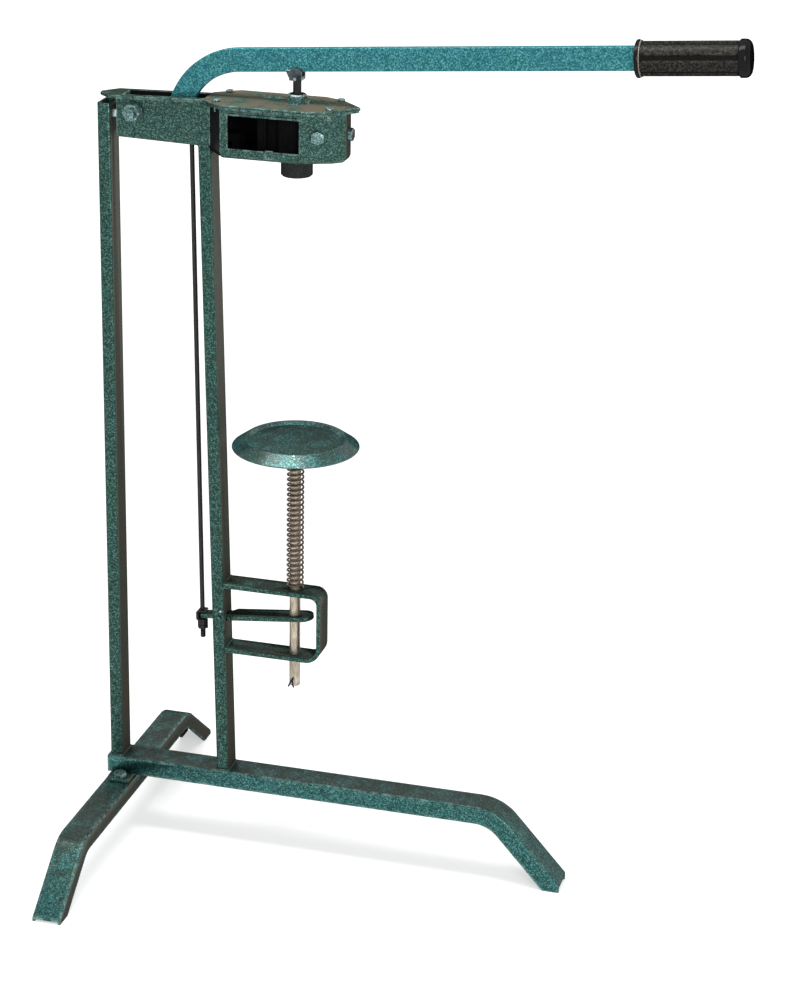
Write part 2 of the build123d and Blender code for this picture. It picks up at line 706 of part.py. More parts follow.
def make_plunger():
    """The plunger that drives the cork down."""
    body = rod(plunger_diameter, axis_x, 0, (plunger_bottom_z, plunger_top_z))
    body = chamfer(body.edges().filter_by(GeomType.CIRCLE), 1.0)
    return body - rod(stud_diameter, axis_x, 0, (plunger_top_z - 12, plunger_top_z + 1))


def make_plunger_stud():
    """The stud screwed in the plunger, which sets how deep the cork goes."""
    return rod(stud_diameter, axis_x, 0, (plunger_top_z - 12, saddle_floor_z[0]))


def make_plunger_saddle():
    """The saddle that straddles the lever's underside, with a wing to the rear."""
    inside = lever_thickness / 2 + 0.5
    half = saddle_length / 2
    low, floor_top = saddle_floor_z
    body = block((axis_x - half, axis_x + half), (-inside - 3, inside + 3), (low, saddle_cheek_top))
    body = fillet(body.edges().filter_by(Axis.Y).group_by(Axis.Z)[-1], 4)
    body -= block((axis_x - 20, axis_x + 20), (-inside, inside), (floor_top, 900))
    wing = Polyline((axis_x - half - 4, saddle_cheek_top - 2), (axis_x - half + 1, saddle_cheek_top - 2),
                    (axis_x - half + 1, low), close=True)
    wing = extrude(Plane.XZ * make_face(wing), inside + 3, both=True)
    wing -= block((axis_x - 30, axis_x + 20), (-inside, inside), (low - 1, 900))
    return body + wing - cross_rod(3.2, axis_x, (low + floor_top) / 2, (-20, 20))


def make_saddle_rivet():
    """The rivet through the saddle's floor that holds it on the stud."""
    reach = lever_thickness / 2 + 5.0
    middle = (saddle_floor_z[0] + saddle_floor_z[1]) / 2
    return cross_rod(3.2, axis_x, middle, (-reach, reach))


def rod_x(z):
    """The lock rod's centre line, which leans back a little."""
    return rod_top_x + (rod_top_z - z) * tan(radians(rod_lean))


def clevis_z():
    """Height of the clevis pin with the lock plate tilted."""
    return fulcrum_z - clevis_arm * sin(radians(lock_tilt))


def clevis_x():
    """Place of the clevis pin with the lock plate tilted."""
    return fulcrum_x() - clevis_arm * cos(radians(lock_tilt))


def make_lock_rod():
    """The long rod from the slide's slot down to the lock plate, hooked over at its top."""
    top, bottom = rod_top_z, clevis_z() - 27
    length = (top - bottom) / cos(radians(rod_lean))
    shaft = Pos(0, 0, -length / 2) * Cylinder(rod_size / 2, length)
    shaft = Pos(rod_top_x, 0, top) * Rot(0, -rod_lean, 0) * shaft
    hook = cross_rod(rod_size, rod_top_x, top, (-9.8, 0))
    bend = Pos(rod_top_x, 0, top) * Sphere(rod_size / 2)
    return shaft + hook + bend


def on_rod(z):
    """A place on the lock rod, turned to its lean."""
    return Pos(rod_x(z), 0, z) * Rot(0, -rod_lean, 0)


def make_rod_clevis():
    """The clevis on the lock rod's lower end that holds the lock plate's tail."""
    z = clevis_z()
    body = on_rod(z) * Box(11.0, 13.0, 11.0)
    body = chamfer(body.edges().filter_by(Axis.Y, tolerance=1e-3), 1.5)
    half = plate_neck_half_width + 0.5
    tail_slot = block((clevis_x() - 3.4, clevis_x() + 20), (-half, half), (z - 4.6, z + 4.6))
    return body - tail_slot - on_rod(z) * Cylinder(rod_size / 2, 40)


def make_rod_nuts():
    """Two nuts under the clevis, which set the lock."""
    z = clevis_z() - 5.5
    nuts = [on_rod(z) * Pos(0, 0, -6.0) * hex_nut(6.3, 6.0, rod_size)]
    nuts.append(on_rod(z) * Pos(0, 0, -10.5) * hex_nut(6.3, 4.0, rod_size))
    return Compound(children=nuts)


def make_lock_plate():
    """The plate that jams the platform rod when it tilts."""
    length_front = (plate_front_x - fulcrum_x()) / cos(radians(lock_tilt))
    half = plate_half_width
    neck = plate_neck_half_width
    shoulder = 15.0
    outline = Polyline((-clevis_arm - 2.4, neck - 3), (-clevis_arm, neck), (shoulder - 4, neck),
                       (shoulder, half), (length_front - half, half))
    lower = Polyline((-clevis_arm - 2.4, 3 - neck), (-clevis_arm, -neck), (shoulder - 4, -neck),
                     (shoulder, -half), (length_front - half, -half))
    tail = Line((-clevis_arm - 2.4, 3 - neck), (-clevis_arm - 2.4, neck - 3))
    nose = ThreePointArc((length_front - half, half), (length_front, 0), (length_front - half, -half))
    face = make_face([*outline.edges(), *lower.edges(), *tail.edges(), *nose.edges()])
    plate = Pos(0, 0, -plate_thickness / 2) * extrude(face, plate_thickness)
    reach = (axis_x - fulcrum_x()) / cos(radians(lock_tilt))
    plate -= Pos(reach, 0, 0) * extrude(SlotCenterToCenter(0.9, platform_rod_size + 0.5), 20, both=True)
    plate -= Rot(90, 0, 0) * Cylinder(2.1, 60)
    plate -= Pos(-clevis_arm, 0, 0) * Cylinder(rod_size / 2 + 0.9, 20)
    return Pos(fulcrum_x(), 0, fulcrum_z) * Rot(0, -lock_tilt, 0) * plate


def make_fulcrum_pin():
    """The pin across the front post that the lock plate tilts on."""
    reach = post_y / 2 + 2.5
    pin = cross_rod(4.1, fulcrum_x(), fulcrum_z, (-reach, reach))
    for side in (-1, 1):
        head = cross_rod(7.5, fulcrum_x(), fulcrum_z, tuple(sorted((side * post_y / 2, side * reach))))
        pin += chamfer(head.edges().filter_by(GeomType.CIRCLE).sort_by(Axis.Y)[-1 if side > 0 else 0], 1.2)
    return pin


def make_platform_bracket():
    """The strap bent to a U that guides the platform rod, welded to the front post."""
    rear = front_post_x - 8
    top, low = strap_top_z, strap_bottom_z
    outer = [(rear, top), (strap_front_x, top), (strap_front_x, low), (rear, low)]
    inner_top, inner_low = top - strap_thickness, low + strap_thickness
    front = strap_front_x - strap_thickness
    outside = FilletPolyline(*outer, radius=(12, 17))
    outside = make_face([*outside.edges(), Line(outer[3], outer[0])])
    inner = [(rear, inner_top), (front, inner_top), (front, inner_low), (rear, inner_low)]
    inside = FilletPolyline(*inner, radius=(7.5, 12.5))
    inside = make_face([*inside.edges(), Line(inner[3], inner[0])])
    strap = extrude(Plane.XZ * outside, strap_half_width, both=True)
    strap -= extrude(Plane.XZ * inside, strap_half_width + 1, both=True)
    post = Pos(front_post_x, 0, base_top_z) * Rot(0, -front_post_lean, 0)
    solid_post = post * block((-40, post_x / 2), (-30, 30), (0, 400))
    return strap - solid_post - rod(platform_rod_size + 0.1, axis_x, 0, (220, 330))


def make_platform_rod():
    """The rod that carries the dish, cross-drilled near its lower end."""
    body = rod(platform_rod_size, axis_x, 0, (platform_rod_bottom, dish_floor_z - dish_sheet))
    body = chamfer(body.edges().filter_by(GeomType.CIRCLE).sort_by(Axis.Z)[0], 1.0)
    return body - cross_rod(3.4, axis_x, split_pin_z + 2, (-10, 10))


def make_platform_dish():
    """The pressed dish: flat floor, raised bead and a rim that slopes down outside."""
    floor, sheet = dish_floor_z, dish_sheet
    top = [(0, floor), (48.5, floor), (51.0, floor + 3.2), (54.0, floor + 3.6), (dish_radius, floor - 6.4)]
    low = [(dish_radius - 1.4, floor - 7.8), (53.4, floor + 1.4), (51.9, floor + 0.9), (49.3, floor - sheet),
           (0, floor - sheet)]
    dish = revolve(Plane.XZ * make_face(Polyline(*top, *low, close=True)), Axis.Z)
    return Pos(axis_x, 0, 0) * dish


def make_dish_boss():
    """The boss welded under the dish that the rod is fixed in."""
    high = dish_floor_z - dish_sheet
    low = spring_top_z + 2.0
    boss = rod(26.0, axis_x, 0, (low, high))
    boss = chamfer(boss.edges().filter_by(GeomType.CIRCLE).sort_by(Axis.Z)[0], 2.0)
    return boss - rod(platform_rod_size, axis_x, 0, (low - 1, high + 1))


def make_spring_seat():
    """The washer between the boss and the spring."""
    return Pos(axis_x, 0, spring_top_z) * washer(platform_rod_size + 0.1, 23.0, 1.9)


def make_platform_spring():
    """The long spring round the rod, from the bracket up to its seat."""
    low, high = strap_top_z + spring_wire / 2, spring_top_z - spring_wire / 2
    middle = (spring_outside - spring_wire) / 2
    helix = Helix((high - low) / spring_coils, high - low, middle)
    helix = Pos(axis_x, 0, low) * helix
    start = Plane(origin=helix @ 0, z_dir=helix % 0)
    return sweep(start * Rectangle(spring_wire * 0.9, spring_wire * 0.9), path=helix, is_frenet=True)


def make_split_pin():
    """The split pin that keeps the rod from being pulled out upwards."""
    z = split_pin_z + 2
    pin = cross_rod(3.2, axis_x, z, (-10, 11))
    eye = Rot(0, 90, 0) * (Cylinder(3.9, 2.4) - Cylinder(1.7, 3))
    eye = Pos(axis_x, 12.5, z) * eye
    legs = []
    for lean in (-24, 16):
        leg = Pos(axis_x, -9.2, z) * Rot(0, lean, 0) * Pos(0, 0, -6.5) * Cylinder(1.3, 13)
        legs.append(leg)
    return pin + eye + legs[0] + legs[1]


pieces = {
    "crossbar": make_crossbar(),
    "base_bar": make_base_bar(),
    "base_lug_plate": make_base_lug_plate(),
    "base_bolts": make_base_bolts(),
    "base_nuts": make_base_nuts(),
    "rear_post": make_rear_post(),
    "front_post": make_front_post(),
    "head_housing": make_head_housing(),
    "head_lid": make_lid(),
    "lid_screws": make_lid_screws(),
    "facet_bolts": make_facet_bolts(),
    "outlet_collar": make_outlet_collar(),
    "mouth_seal": make_mouth_seal(),
    "hanger_bolt": make_hanger_bolt(),
    "hanger_nuts": make_hanger_nuts(),
    "lever_bar": make_lever_bar(),
    "lever_bush": make_lever_bush(),
    "pivot_bolt": make_pivot_bolt(),
    "pivot_nut": make_pivot_nut(),
    "pivot_washers": make_pivot_washers(),
    "grip_sleeve": make_grip_sleeve(),
    "grip_cap": make_grip_cap(),
    "jaw_slide": make_jaw_slide(),
    "front_jaw": make_front_jaw(),
    "rear_jaw": make_rear_jaw(),
    "rear_jaw_block": make_rear_jaw_block(),
    "near_jaw": make_side_jaw(-1),
    "far_jaw": make_side_jaw(1),
    "jaw_keeper": make_jaw_keeper(),
    "plunger_guide": make_plunger_guide(),
    "plunger": make_plunger(),
    "plunger_stud": make_plunger_stud(),
    "plunger_saddle": make_plunger_saddle(),
    "saddle_rivet": make_saddle_rivet(),
    "lock_rod": make_lock_rod(),
    "rod_clevis": make_rod_clevis(),
    "rod_nuts": make_rod_nuts(),
    "lock_plate": make_lock_plate(),
    "fulcrum_pin": make_fulcrum_pin(),
    "platform_bracket": make_platform_bracket(),
    "platform_rod": make_platform_rod(),
    "platform_dish": make_platform_dish(),
    "dish_boss": make_dish_boss(),
    "spring_seat": make_spring_seat(),
    "platform_spring": make_platform_spring(),
    "split_pin": make_split_pin(),
}

os.makedirs("parts", exist_ok=True)
for name, piece in pieces.items():
    export_step(piece, f"parts/{name}.step")
print("jaw pull", round(jaw_pull, 3), "lock travel", round(lock_travel(), 3))
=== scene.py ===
import json
from math import atan2, cos, pi, radians, sin, tan

import bpy
from mathutils import Matrix, Vector

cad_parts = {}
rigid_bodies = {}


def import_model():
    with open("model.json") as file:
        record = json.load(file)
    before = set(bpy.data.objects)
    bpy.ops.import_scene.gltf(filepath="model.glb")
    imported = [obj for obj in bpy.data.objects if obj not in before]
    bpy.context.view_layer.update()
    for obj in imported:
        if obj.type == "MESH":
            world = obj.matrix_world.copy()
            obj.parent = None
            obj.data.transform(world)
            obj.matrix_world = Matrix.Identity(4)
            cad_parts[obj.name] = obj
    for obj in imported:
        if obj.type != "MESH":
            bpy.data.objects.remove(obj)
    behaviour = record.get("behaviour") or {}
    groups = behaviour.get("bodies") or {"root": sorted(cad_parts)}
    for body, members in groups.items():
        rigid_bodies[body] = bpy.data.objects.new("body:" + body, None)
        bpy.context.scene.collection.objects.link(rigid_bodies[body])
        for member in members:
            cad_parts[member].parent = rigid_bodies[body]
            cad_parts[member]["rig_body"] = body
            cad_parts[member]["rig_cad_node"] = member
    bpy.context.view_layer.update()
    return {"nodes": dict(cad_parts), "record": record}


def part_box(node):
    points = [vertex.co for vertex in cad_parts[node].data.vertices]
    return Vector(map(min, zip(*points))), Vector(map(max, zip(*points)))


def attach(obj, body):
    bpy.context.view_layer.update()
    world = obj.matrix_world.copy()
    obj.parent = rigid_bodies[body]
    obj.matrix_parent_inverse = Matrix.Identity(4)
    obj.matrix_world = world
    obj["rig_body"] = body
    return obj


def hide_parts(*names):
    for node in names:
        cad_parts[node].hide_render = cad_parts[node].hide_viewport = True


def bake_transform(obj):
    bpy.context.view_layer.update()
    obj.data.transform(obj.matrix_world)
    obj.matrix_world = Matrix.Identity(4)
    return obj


# Dressing for the floor corker: paint, plating, steel, rubber and welds, and the light and camera.
# Everything is in metres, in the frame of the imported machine: X forward, Y across, Z up.

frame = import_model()
nodes = frame["nodes"]
MM = 0.001

# The view of the photograph
PHOTO_HEIGHT = 988
VIEW_AZIMUTH = radians(15.19)
VIEW_ELEVATION = radians(21.11)
VIEW_ROLL = radians(1.06)
VIEW_DISTANCE = 3.0
VIEW_FOCAL_PIXELS = 2830.2
VIEW_TARGET = Vector((-0.00722, 0.0, 0.43867))
SENSOR = 36.0

# The studio: a dim even surround, two soft boxes, and a pale floor that glows towards white
WHITE = (1.0, 1.0, 1.0, 1.0)
SURROUND = (0.30, 0.30, 0.30, 1.0)
KEY_PLACE, KEY_SIZE = (1.4, -2.4, 1.5), (1.0, 1.0)
TOP_PLACE, TOP_SIZE = (-0.35, -0.25, 2.1), (1.7, 0.55)
LAMP_POWER = 30
FLOOR_SIZE = 30
FLOOR_LIFT = 0.52
FLOOR_FADE = 0.42
FADE_NEAR, FADE_FAR = 0.6, 3.0

# Places on the machine, read from the frame
SLOT_OF = {entry["node"]: entry["material_slot"] for entry in frame["record"]["subparts"]}
BODY_OF = {node: body for body, names in frame["record"]["behaviour"]["bodies"].items()
           for node in names}
DISH_LOW, DISH_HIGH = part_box("platform_dish")
AXIS_X = (DISH_LOW.x + DISH_HIGH.x) / 2
BRACKET_LOW, BRACKET_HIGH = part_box("platform_bracket")
SEAT_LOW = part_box("spring_seat")[0]
BUSH_LOW, BUSH_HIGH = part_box("lever_bush")
PIVOT = (BUSH_LOW + BUSH_HIGH) / 2

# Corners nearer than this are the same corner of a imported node
MERGE_DISTANCE = 0.002 * MM

# The lever and its grip, measured from the pivot along the bar and square to it
LEVER_TILT = radians(4.5)
BAR_HEIGHT = 24.2 * MM
BAR_THICKNESS = 8.0 * MM
BAR_END = 560.0 * MM
NECK_CENTRE = Vector((0.1152, 0.0, -0.0209))
NECK_RADIUS = 72.0 * MM
NECK_TURN = radians(66)
NECK_TAIL = 8 * MM
TOE_TOP = 838.0 * MM
GRIP_START = 526.0 * MM
GRIP_HEIGHT = 50.7 * MM
GRIP_LENGTH = 102.2 * MM
GRIP_RADIUS = 17.25 * MM
GRIP_ROLL = radians(12)
GROOVE_SPACING = pi / 3
GROOVE_HALF_TURN = radians(9.0)
GROOVE_DEPTH = 0.85
RING_RADIUS, RING_WIDTH = 18.3 * MM, 0.8 * MM
COLLAR_LENGTH = 4.4 * MM
GRIP_CAP_RADIUS = 19.0 * MM
CAP_LENGTH = 11.35 * MM

# The head
HEAD_FLOOR = BUSH_LOW.z
ARM_FLOOR = 801.6 * MM
ARM_HALF_WIDTH = 13.0 * MM
SADDLE_WING = 4.5 * MM
SCREW_TIP = 845.5 * MM
SCREW_REACH = 4.4 * MM

# The platform
DISH_DEPTH = 3.6 * MM
ROD_FOOT = 5.0 * MM
SPRING_WIRE = 1.15 * MM
SPRING_RADIUS = 8.55 * MM
SPRING_TURNS = 24
PIN_WIRE = 1.25 * MM
PIN_DROP = 3.9 * MM
EYE_RADIUS = 2.7 * MM
EYE_STRETCH = 0.9 * MM
EYE_INSET = 4.6 * MM
LEG_INSET = 6.8 * MM
LEG_BEND = 3.0 * MM

# Posts, welds and threads
STRAP = 4.5 * MM
POST_LEAN = radians(1.3)
POST_HALF_X, POST_HALF_Y = 7.0 * MM, 14.0 * MM
POST_WELD, STRAP_WELD, ARM_WELD = 1.7 * MM, 1.5 * MM, 1.9 * MM
RIPPLE = 2.3 * MM
LOCK_ROD_LEAN = radians(0.8)
LOCK_ROD_LINE = Vector((-sin(LOCK_ROD_LEAN), 0, cos(LOCK_ROD_LEAN)))
THREAD_PITCH = 0.8 * MM
THREAD_WIRE, THREAD_RADIUS = 0.42 * MM, 2.45 * MM


def along_lever(distance, height):
    """A point in the lever's plane, measured from its pivot along the bar and square to it."""
    x = PIVOT.x + distance * cos(LEVER_TILT) - height * sin(LEVER_TILT)
    return Vector((x, 0, PIVOT.z + distance * sin(LEVER_TILT) + height * cos(LEVER_TILT)))


# Shader building

def socket_value(node, name, value):
    """Sets an unlinked input of a node."""
    node.inputs[name].default_value = value


def wire(tree, source, out_name, target, in_name):
    """Links an output to an input by their names or numbers."""
    tree.links.new(source.outputs[out_name], target.inputs[in_name])


def new_group(name, inputs, outputs):
    """An empty shader group with named sockets. Returns its tree and its two end nodes."""
    tree = bpy.data.node_groups.new(name, "ShaderNodeTree")
    for label, kind, value in inputs:
        made = tree.interface.new_socket(label, in_out="INPUT", socket_type=kind)
        if value is not None:
            made.default_value = value
    for label, kind in outputs:
        tree.interface.new_socket(label, in_out="OUTPUT", socket_type=kind)
    return tree, tree.nodes.new("NodeGroupInput"), tree.nodes.new("NodeGroupOutput")


def maths(tree, operation, first, second=None, third=None, clamp=False):
    """A math node. Each operand is a number or a (node, output) pair."""
    node = tree.nodes.new("ShaderNodeMath")
    node.operation = operation
    node.use_clamp = clamp
    for i, operand in enumerate((first, second, third)):
        if isinstance(operand, tuple):
            wire(tree, operand[0], operand[1], node, i)
        elif operand is not None:
            node.inputs[i].default_value = operand
    return (node, 0)


def ramp(tree, source, low, high):
    """Stretches the range low to high onto 0 to 1."""
    node = tree.nodes.new("ShaderNodeMapRange")
    node.interpolation_type = "SMOOTHSTEP"
    wire(tree, source[0], source[1], node, "Value")
    socket_value(node, "From Min", low)
    socket_value(node, "From Max", high)
    return (node, "Result")


def mixed(tree, share, first, second, blend="MIX"):
    """A colour mix. Colours and the share are values or (node, output) pairs."""
    node = tree.nodes.new("ShaderNodeMix")
    node.data_type = "RGBA"
    node.blend_type = blend
    for name, operand in (("Factor", share), ("A", first), ("B", second)):
        target = next(s for s in node.inputs if s.name == name and s.enabled)
        if isinstance(operand, tuple) and isinstance(operand[0], bpy.types.Node):
            tree.links.new(operand[0].outputs[operand[1]], target)
        else:
            target.default_value = operand
    output = next(i for i, s in enumerate(node.outputs) if s.enabled)
    return (node, output)


def noise(tree, vector, size, detail=2.0, roughness=0.5):
    """Noise whose features are about the given size, in metres."""
    node = tree.nodes.new("ShaderNodeTexNoise")
    wire(tree, vector[0], vector[1], node, "Vector")
    socket_value(node, "Scale", 1 / size)
    socket_value(node, "Detail", detail)
    socket_value(node, "Roughness", roughness)
    return (node, "Fac")


def make_hammer_group():
    """Hammer finish: soft dimples, fine flakes, patches that lean to blue, and a few pale chips."""
    tree, start, end = new_group(
        "hammer_finish",
        [("Vector", "NodeSocketVector", None),
         ("Flake", "NodeSocketFloat", 1.05 * MM),
         ("Lit", "NodeSocketColor", (0.2, 0.4, 0.36, 1)),
         ("Shade", "NodeSocketColor", (0.05, 0.13, 0.12, 1)),
         ("Tint", "NodeSocketColor", (0.05, 0.2, 0.25, 1)),
         ("Fleck", "NodeSocketColor", (0.45, 0.62, 0.58, 1))],
        [("Colour", "NodeSocketColor"), ("Height", "NodeSocketFloat"),
         ("Gloss", "NodeSocketFloat")])
    vector = (start, "Vector")
    dimple = noise(tree, vector, 1.7 * MM, 2.0, 0.6)
    patch = ramp(tree, noise(tree, vector, 11 * MM, 3.0, 0.6), 0.36, 0.66)
    flakes = tree.nodes.new("ShaderNodeTexVoronoi")
    wire(tree, *vector, flakes, "Vector")
    wire(tree, *maths(tree, "DIVIDE", 1.0, (start, "Flake")), flakes, "Scale")
    chance = tree.nodes.new("ShaderNodeSeparateColor")
    wire(tree, flakes, "Color", chance, 0)
    body = mixed(tree, ramp(tree, dimple, 0.34, 0.64), (start, "Shade"), (start, "Lit"))
    body = mixed(tree, maths(tree, "MULTIPLY", patch, 0.45), body, (start, "Tint"))
    dark = maths(tree, "MULTIPLY", ramp(tree, (chance, "Red"), 0.42, 0.08), 0.75)
    body = mixed(tree, dark, body, (start, "Shade"))
    bright = ramp(tree, (chance, "Red"), 0.62, 0.98)
    body = mixed(tree, maths(tree, "MULTIPLY", bright, 0.72), body, (start, "Fleck"))
    chips = tree.nodes.new("ShaderNodeTexVoronoi")
    wire(tree, *vector, chips, "Vector")
    socket_value(chips, "Scale", 1 / (52 * MM))
    chip = ramp(tree, (chips, "Distance"), 0.026, 0.014)
    body = mixed(tree, chip, body, (0.72, 0.76, 0.72, 1))
    wire(tree, *body, end, "Colour")
    wire(tree, *dimple, end, "Height")
    wire(tree, *maths(tree, "MULTIPLY", bright, -0.10), end, "Gloss")
    return tree


def make_edge_group():
    """A mask that is high along outside edges and broken up by noise: edge wear, and on the enamels
    painted highlights along the edges.
    """
    tree, start, end = new_group(
        "edge_wear_and_highlight",
        [("Vector", "NodeSocketVector", None), ("Width", "NodeSocketFloat", 1.2 * MM),
         ("Amount", "NodeSocketFloat", 1.0)],
        [("Mask", "NodeSocketFloat")])
    rounded = tree.nodes.new("ShaderNodeBevel")
    rounded.samples = 4
    wire(tree, start, "Width", rounded, "Radius")
    flat = tree.nodes.new("ShaderNodeNewGeometry")
    agree = tree.nodes.new("ShaderNodeVectorMath")
    agree.operation = "DOT_PRODUCT"
    wire(tree, rounded, "Normal", agree, 0)
    wire(tree, flat, "Normal", agree, 1)
    turned = maths(tree, "SUBTRACT", 1.0, (agree, "Value"))
    edge = ramp(tree, turned, 0.006, 0.10)
    broken = ramp(tree, noise(tree, (start, "Vector"), 7 * MM, 4.0, 0.7), 0.42, 0.62)
    mask = maths(tree, "MULTIPLY", edge, broken)
    mask = maths(tree, "MULTIPLY", mask, (start, "Amount"), clamp=True)
    wire(tree, *mask, end, "Mask")
    return tree


def make_dust_and_shade_group():
    """Masks of the dust and painted shade that darken upward faces, and of the painted brown shade
    on forward ones.
    """
    tree, start, end = new_group(
        "dust_and_painted_shade",
        [("Vector", "NodeSocketVector", None), ("Amount", "NodeSocketFloat", 0.3),
         ("Front", "NodeSocketFloat", 0.0)],
        [("Mask", "NodeSocketFloat"), ("FrontShade", "NodeSocketFloat")])
    flat = tree.nodes.new("ShaderNodeNewGeometry")
    split = tree.nodes.new("ShaderNodeSeparateXYZ")
    wire(tree, flat, "Normal", split, 0)
    # Faces turned forward along X are tinted brown in patches: painted shade.
    forward = maths(tree, "MULTIPLY", ramp(tree, (split, "X"), 0.75, 0.97), (start, "Front"))
    upward = ramp(tree, (split, "Z"), 0.4, 0.95)
    patches = ramp(tree, noise(tree, (start, "Vector"), 26 * MM, 5.0, 0.65), 0.26, 0.62)
    mask = maths(tree, "MULTIPLY", upward, patches)
    mask = maths(tree, "MULTIPLY", mask, (start, "Amount"), clamp=True)
    patchy_share = maths(tree, "MULTIPLY_ADD", patches, 0.45, 0.5)
    wire(tree, *maths(tree, "MULTIPLY", forward, patchy_share), end, "FrontShade")
    wire(tree, *mask, end, "Mask")
    return tree


def make_grain_group():
    """Drawn or brushed metal: streaks along one axis, with faint blotches."""
    tree, start, end = new_group(
        "metal_grain",
        [("Vector", "NodeSocketVector", None), ("Stretch", "NodeSocketVector", (1, 1, 0.06)),
         ("Size", "NodeSocketFloat", 0.8 * MM)],
        [("Streak", "NodeSocketFloat"), ("Blotch", "NodeSocketFloat")])
    stretched = tree.nodes.new("ShaderNodeVectorMath")
    stretched.operation = "MULTIPLY"
    wire(tree, start, "Vector", stretched, 0)
    wire(tree, start, "Stretch", stretched, 1)
    streak = tree.nodes.new("ShaderNodeTexNoise")
    wire(tree, stretched, 0, streak, "Vector")
    wire(tree, *maths(tree, "DIVIDE", 1.0, (start, "Size")), streak, "Scale")
    socket_value(streak, "Detail", 3.0)
    wire(tree, *ramp(tree, (streak, "Fac"), 0.3, 0.7), end, "Streak")
    blotch = ramp(tree, noise(tree, (start, "Vector"), 14 * MM, 4.0, 0.6), 0.4, 0.7)
    wire(tree, *blotch, end, "Blotch")
    return tree


def make_inside_shade_group():
    """A mask for painted shade: the head's inside walls and floor, and its near rear facet, which
    lies in deep shadow.
    """
    tree, start, end = new_group(
        "inside_painted_shade",
        [("Vector", "NodeSocketVector", None), ("Floor", "NodeSocketFloat", HEAD_FLOOR)],
        [("Mask", "NodeSocketFloat")])
    flat = tree.nodes.new("ShaderNodeNewGeometry")
    split = tree.nodes.new("ShaderNodeSeparateXYZ")
    place = tree.nodes.new("ShaderNodeSeparateXYZ")
    wire(tree, flat, "Normal", split, 0)
    wire(tree, start, "Vector", place, 0)
    inward = maths(tree, "MULTIPLY", (split, "Y"), maths(tree, "MULTIPLY", (place, "Y"), -1 / MM))
    lying = maths(tree, "MULTIPLY", ramp(tree, (split, "Z"), 0.7, 0.9),
                  maths(tree, "LESS_THAN", (place, "Z"), (start, "Floor")))
    rear = maths(tree, "MULTIPLY", ramp(tree, (split, "X"), -0.35, -0.7),
                 maths(tree, "LESS_THAN", (split, "Y"), -0.1))
    hidden = maths(tree, "MAXIMUM", maths(tree, "MULTIPLY", inward, 0.5, clamp=True), rear)
    wire(tree, *maths(tree, "MAXIMUM", hidden, lying), end, "Mask")
    return tree


HAMMER = make_hammer_group()
INSIDE_SHADE = make_inside_shade_group()
EDGES = make_edge_group()
DUST_AND_SHADE = make_dust_and_shade_group()
GRAIN = make_grain_group()


def colour(red, green, blue):
    """A colour with full alpha."""
    return (red, green, blue, 1.0)


def new_material(name, metallic, roughness):
    """A material with a plain shader. Returns the material, its tree, shader and coordinates."""
    material = bpy.data.materials.new(name)
    material.use_nodes = True
    tree = material.node_tree
    shader = tree.nodes["Principled BSDF"]
    socket_value(shader, "Metallic", metallic)
    socket_value(shader, "Roughness", roughness)
    where = tree.nodes.new("ShaderNodeTexCoord")
    return material, tree, shader, (where, "Object")


def place_group(tree, group, vector, **values):
    """A group in a material, with its own values."""
    node = tree.nodes.new("ShaderNodeGroup")
    node.node_tree = group
    wire(tree, *vector, node, "Vector")
    for name, value in values.items():
        socket_value(node, name, value)
    return node


def bump(tree, shader, height, strength, distance):
    """Feeds a height to the shader's normal."""
    node = tree.nodes.new("ShaderNodeBump")
    socket_value(node, "Strength", strength)
    socket_value(node, "Distance", distance)
    wire(tree, *height, node, "Height")
    wire(tree, node, "Normal", shader, "Normal")


def shine(tree, shader, weight, roughness, metallic=0.0):
    """A clear film and a share of metal flake, which mirror less where they are seen edge on."""
    view = tree.nodes.new("ShaderNodeLayerWeight")
    socket_value(view, "Blend", 0.5)
    square_on = ramp(tree, (view, "Facing"), 0.72, 0.45)
    wire(tree, *maths(tree, "MULTIPLY", square_on, weight), shader, "Coat Weight")
    socket_value(shader, "Coat Roughness", roughness)
    socket_value(shader, "Specular IOR Level", 0.0)
    if metallic:
        wire(tree, *maths(tree, "MULTIPLY", square_on, metallic), shader, "Metallic")


def enamel(name, lit, shade, tint, fleck, worn_and_highlight, wear_and_highlight=0.6, dust_and_shade=0.8, gloss=0.15, flake=0.55,
           inside_shade=False, dust_shade_colour=None, width=1.2 * MM):
    """Hammer-finish enamel: worn edges with painted highlights, dust and painted shade on what
    faces up, painted brown shade on what faces forward, and where asked painted shade inside the
    head.
    """
    material, tree, shader, where = new_material(name, 0.0, 0.42)
    finish = place_group(tree, HAMMER, where, Lit=lit, Shade=shade, Tint=tint, Fleck=fleck)
    edges = place_group(tree, EDGES, where, Amount=wear_and_highlight, Width=width)
    dust_shade = place_group(tree, DUST_AND_SHADE, where, Amount=dust_and_shade, Front=min(1.0, dust_and_shade * 1.6))
    # Upward faces are darkened: dust and painted shade.
    body = mixed(tree, (dust_shade, "Mask"), (finish, "Colour"), dust_shade_colour or GRIME_AND_SHADE)
    # Forward faces turn brown: painted shade.
    body = mixed(tree, (dust_shade, "FrontShade"), body, FRONT_SHADE_BROWN)
    # Pale edges: wear, and painted highlights along the bends.
    body = mixed(tree, (edges, "Mask"), body, worn_and_highlight)
    # The head's inside and its near rear facet are painted near black: painted shade.
    if inside_shade:
        body = mixed(tree, (place_group(tree, INSIDE_SHADE, where), "Mask"), body, PITCH_BLACK)
    wire(tree, *body, shader, "Base Color")
    rough = maths(tree, "ADD", 0.38, (finish, "Gloss"))
    rough = maths(tree, "ADD", rough, maths(tree, "MULTIPLY", (dust_shade, "Mask"), 0.3))
    wire(tree, *rough, shader, "Roughness")
    shine(tree, shader, gloss, 0.24, flake)
    bump(tree, shader, (finish, "Height"), 0.45, 0.5 * MM)
    return material


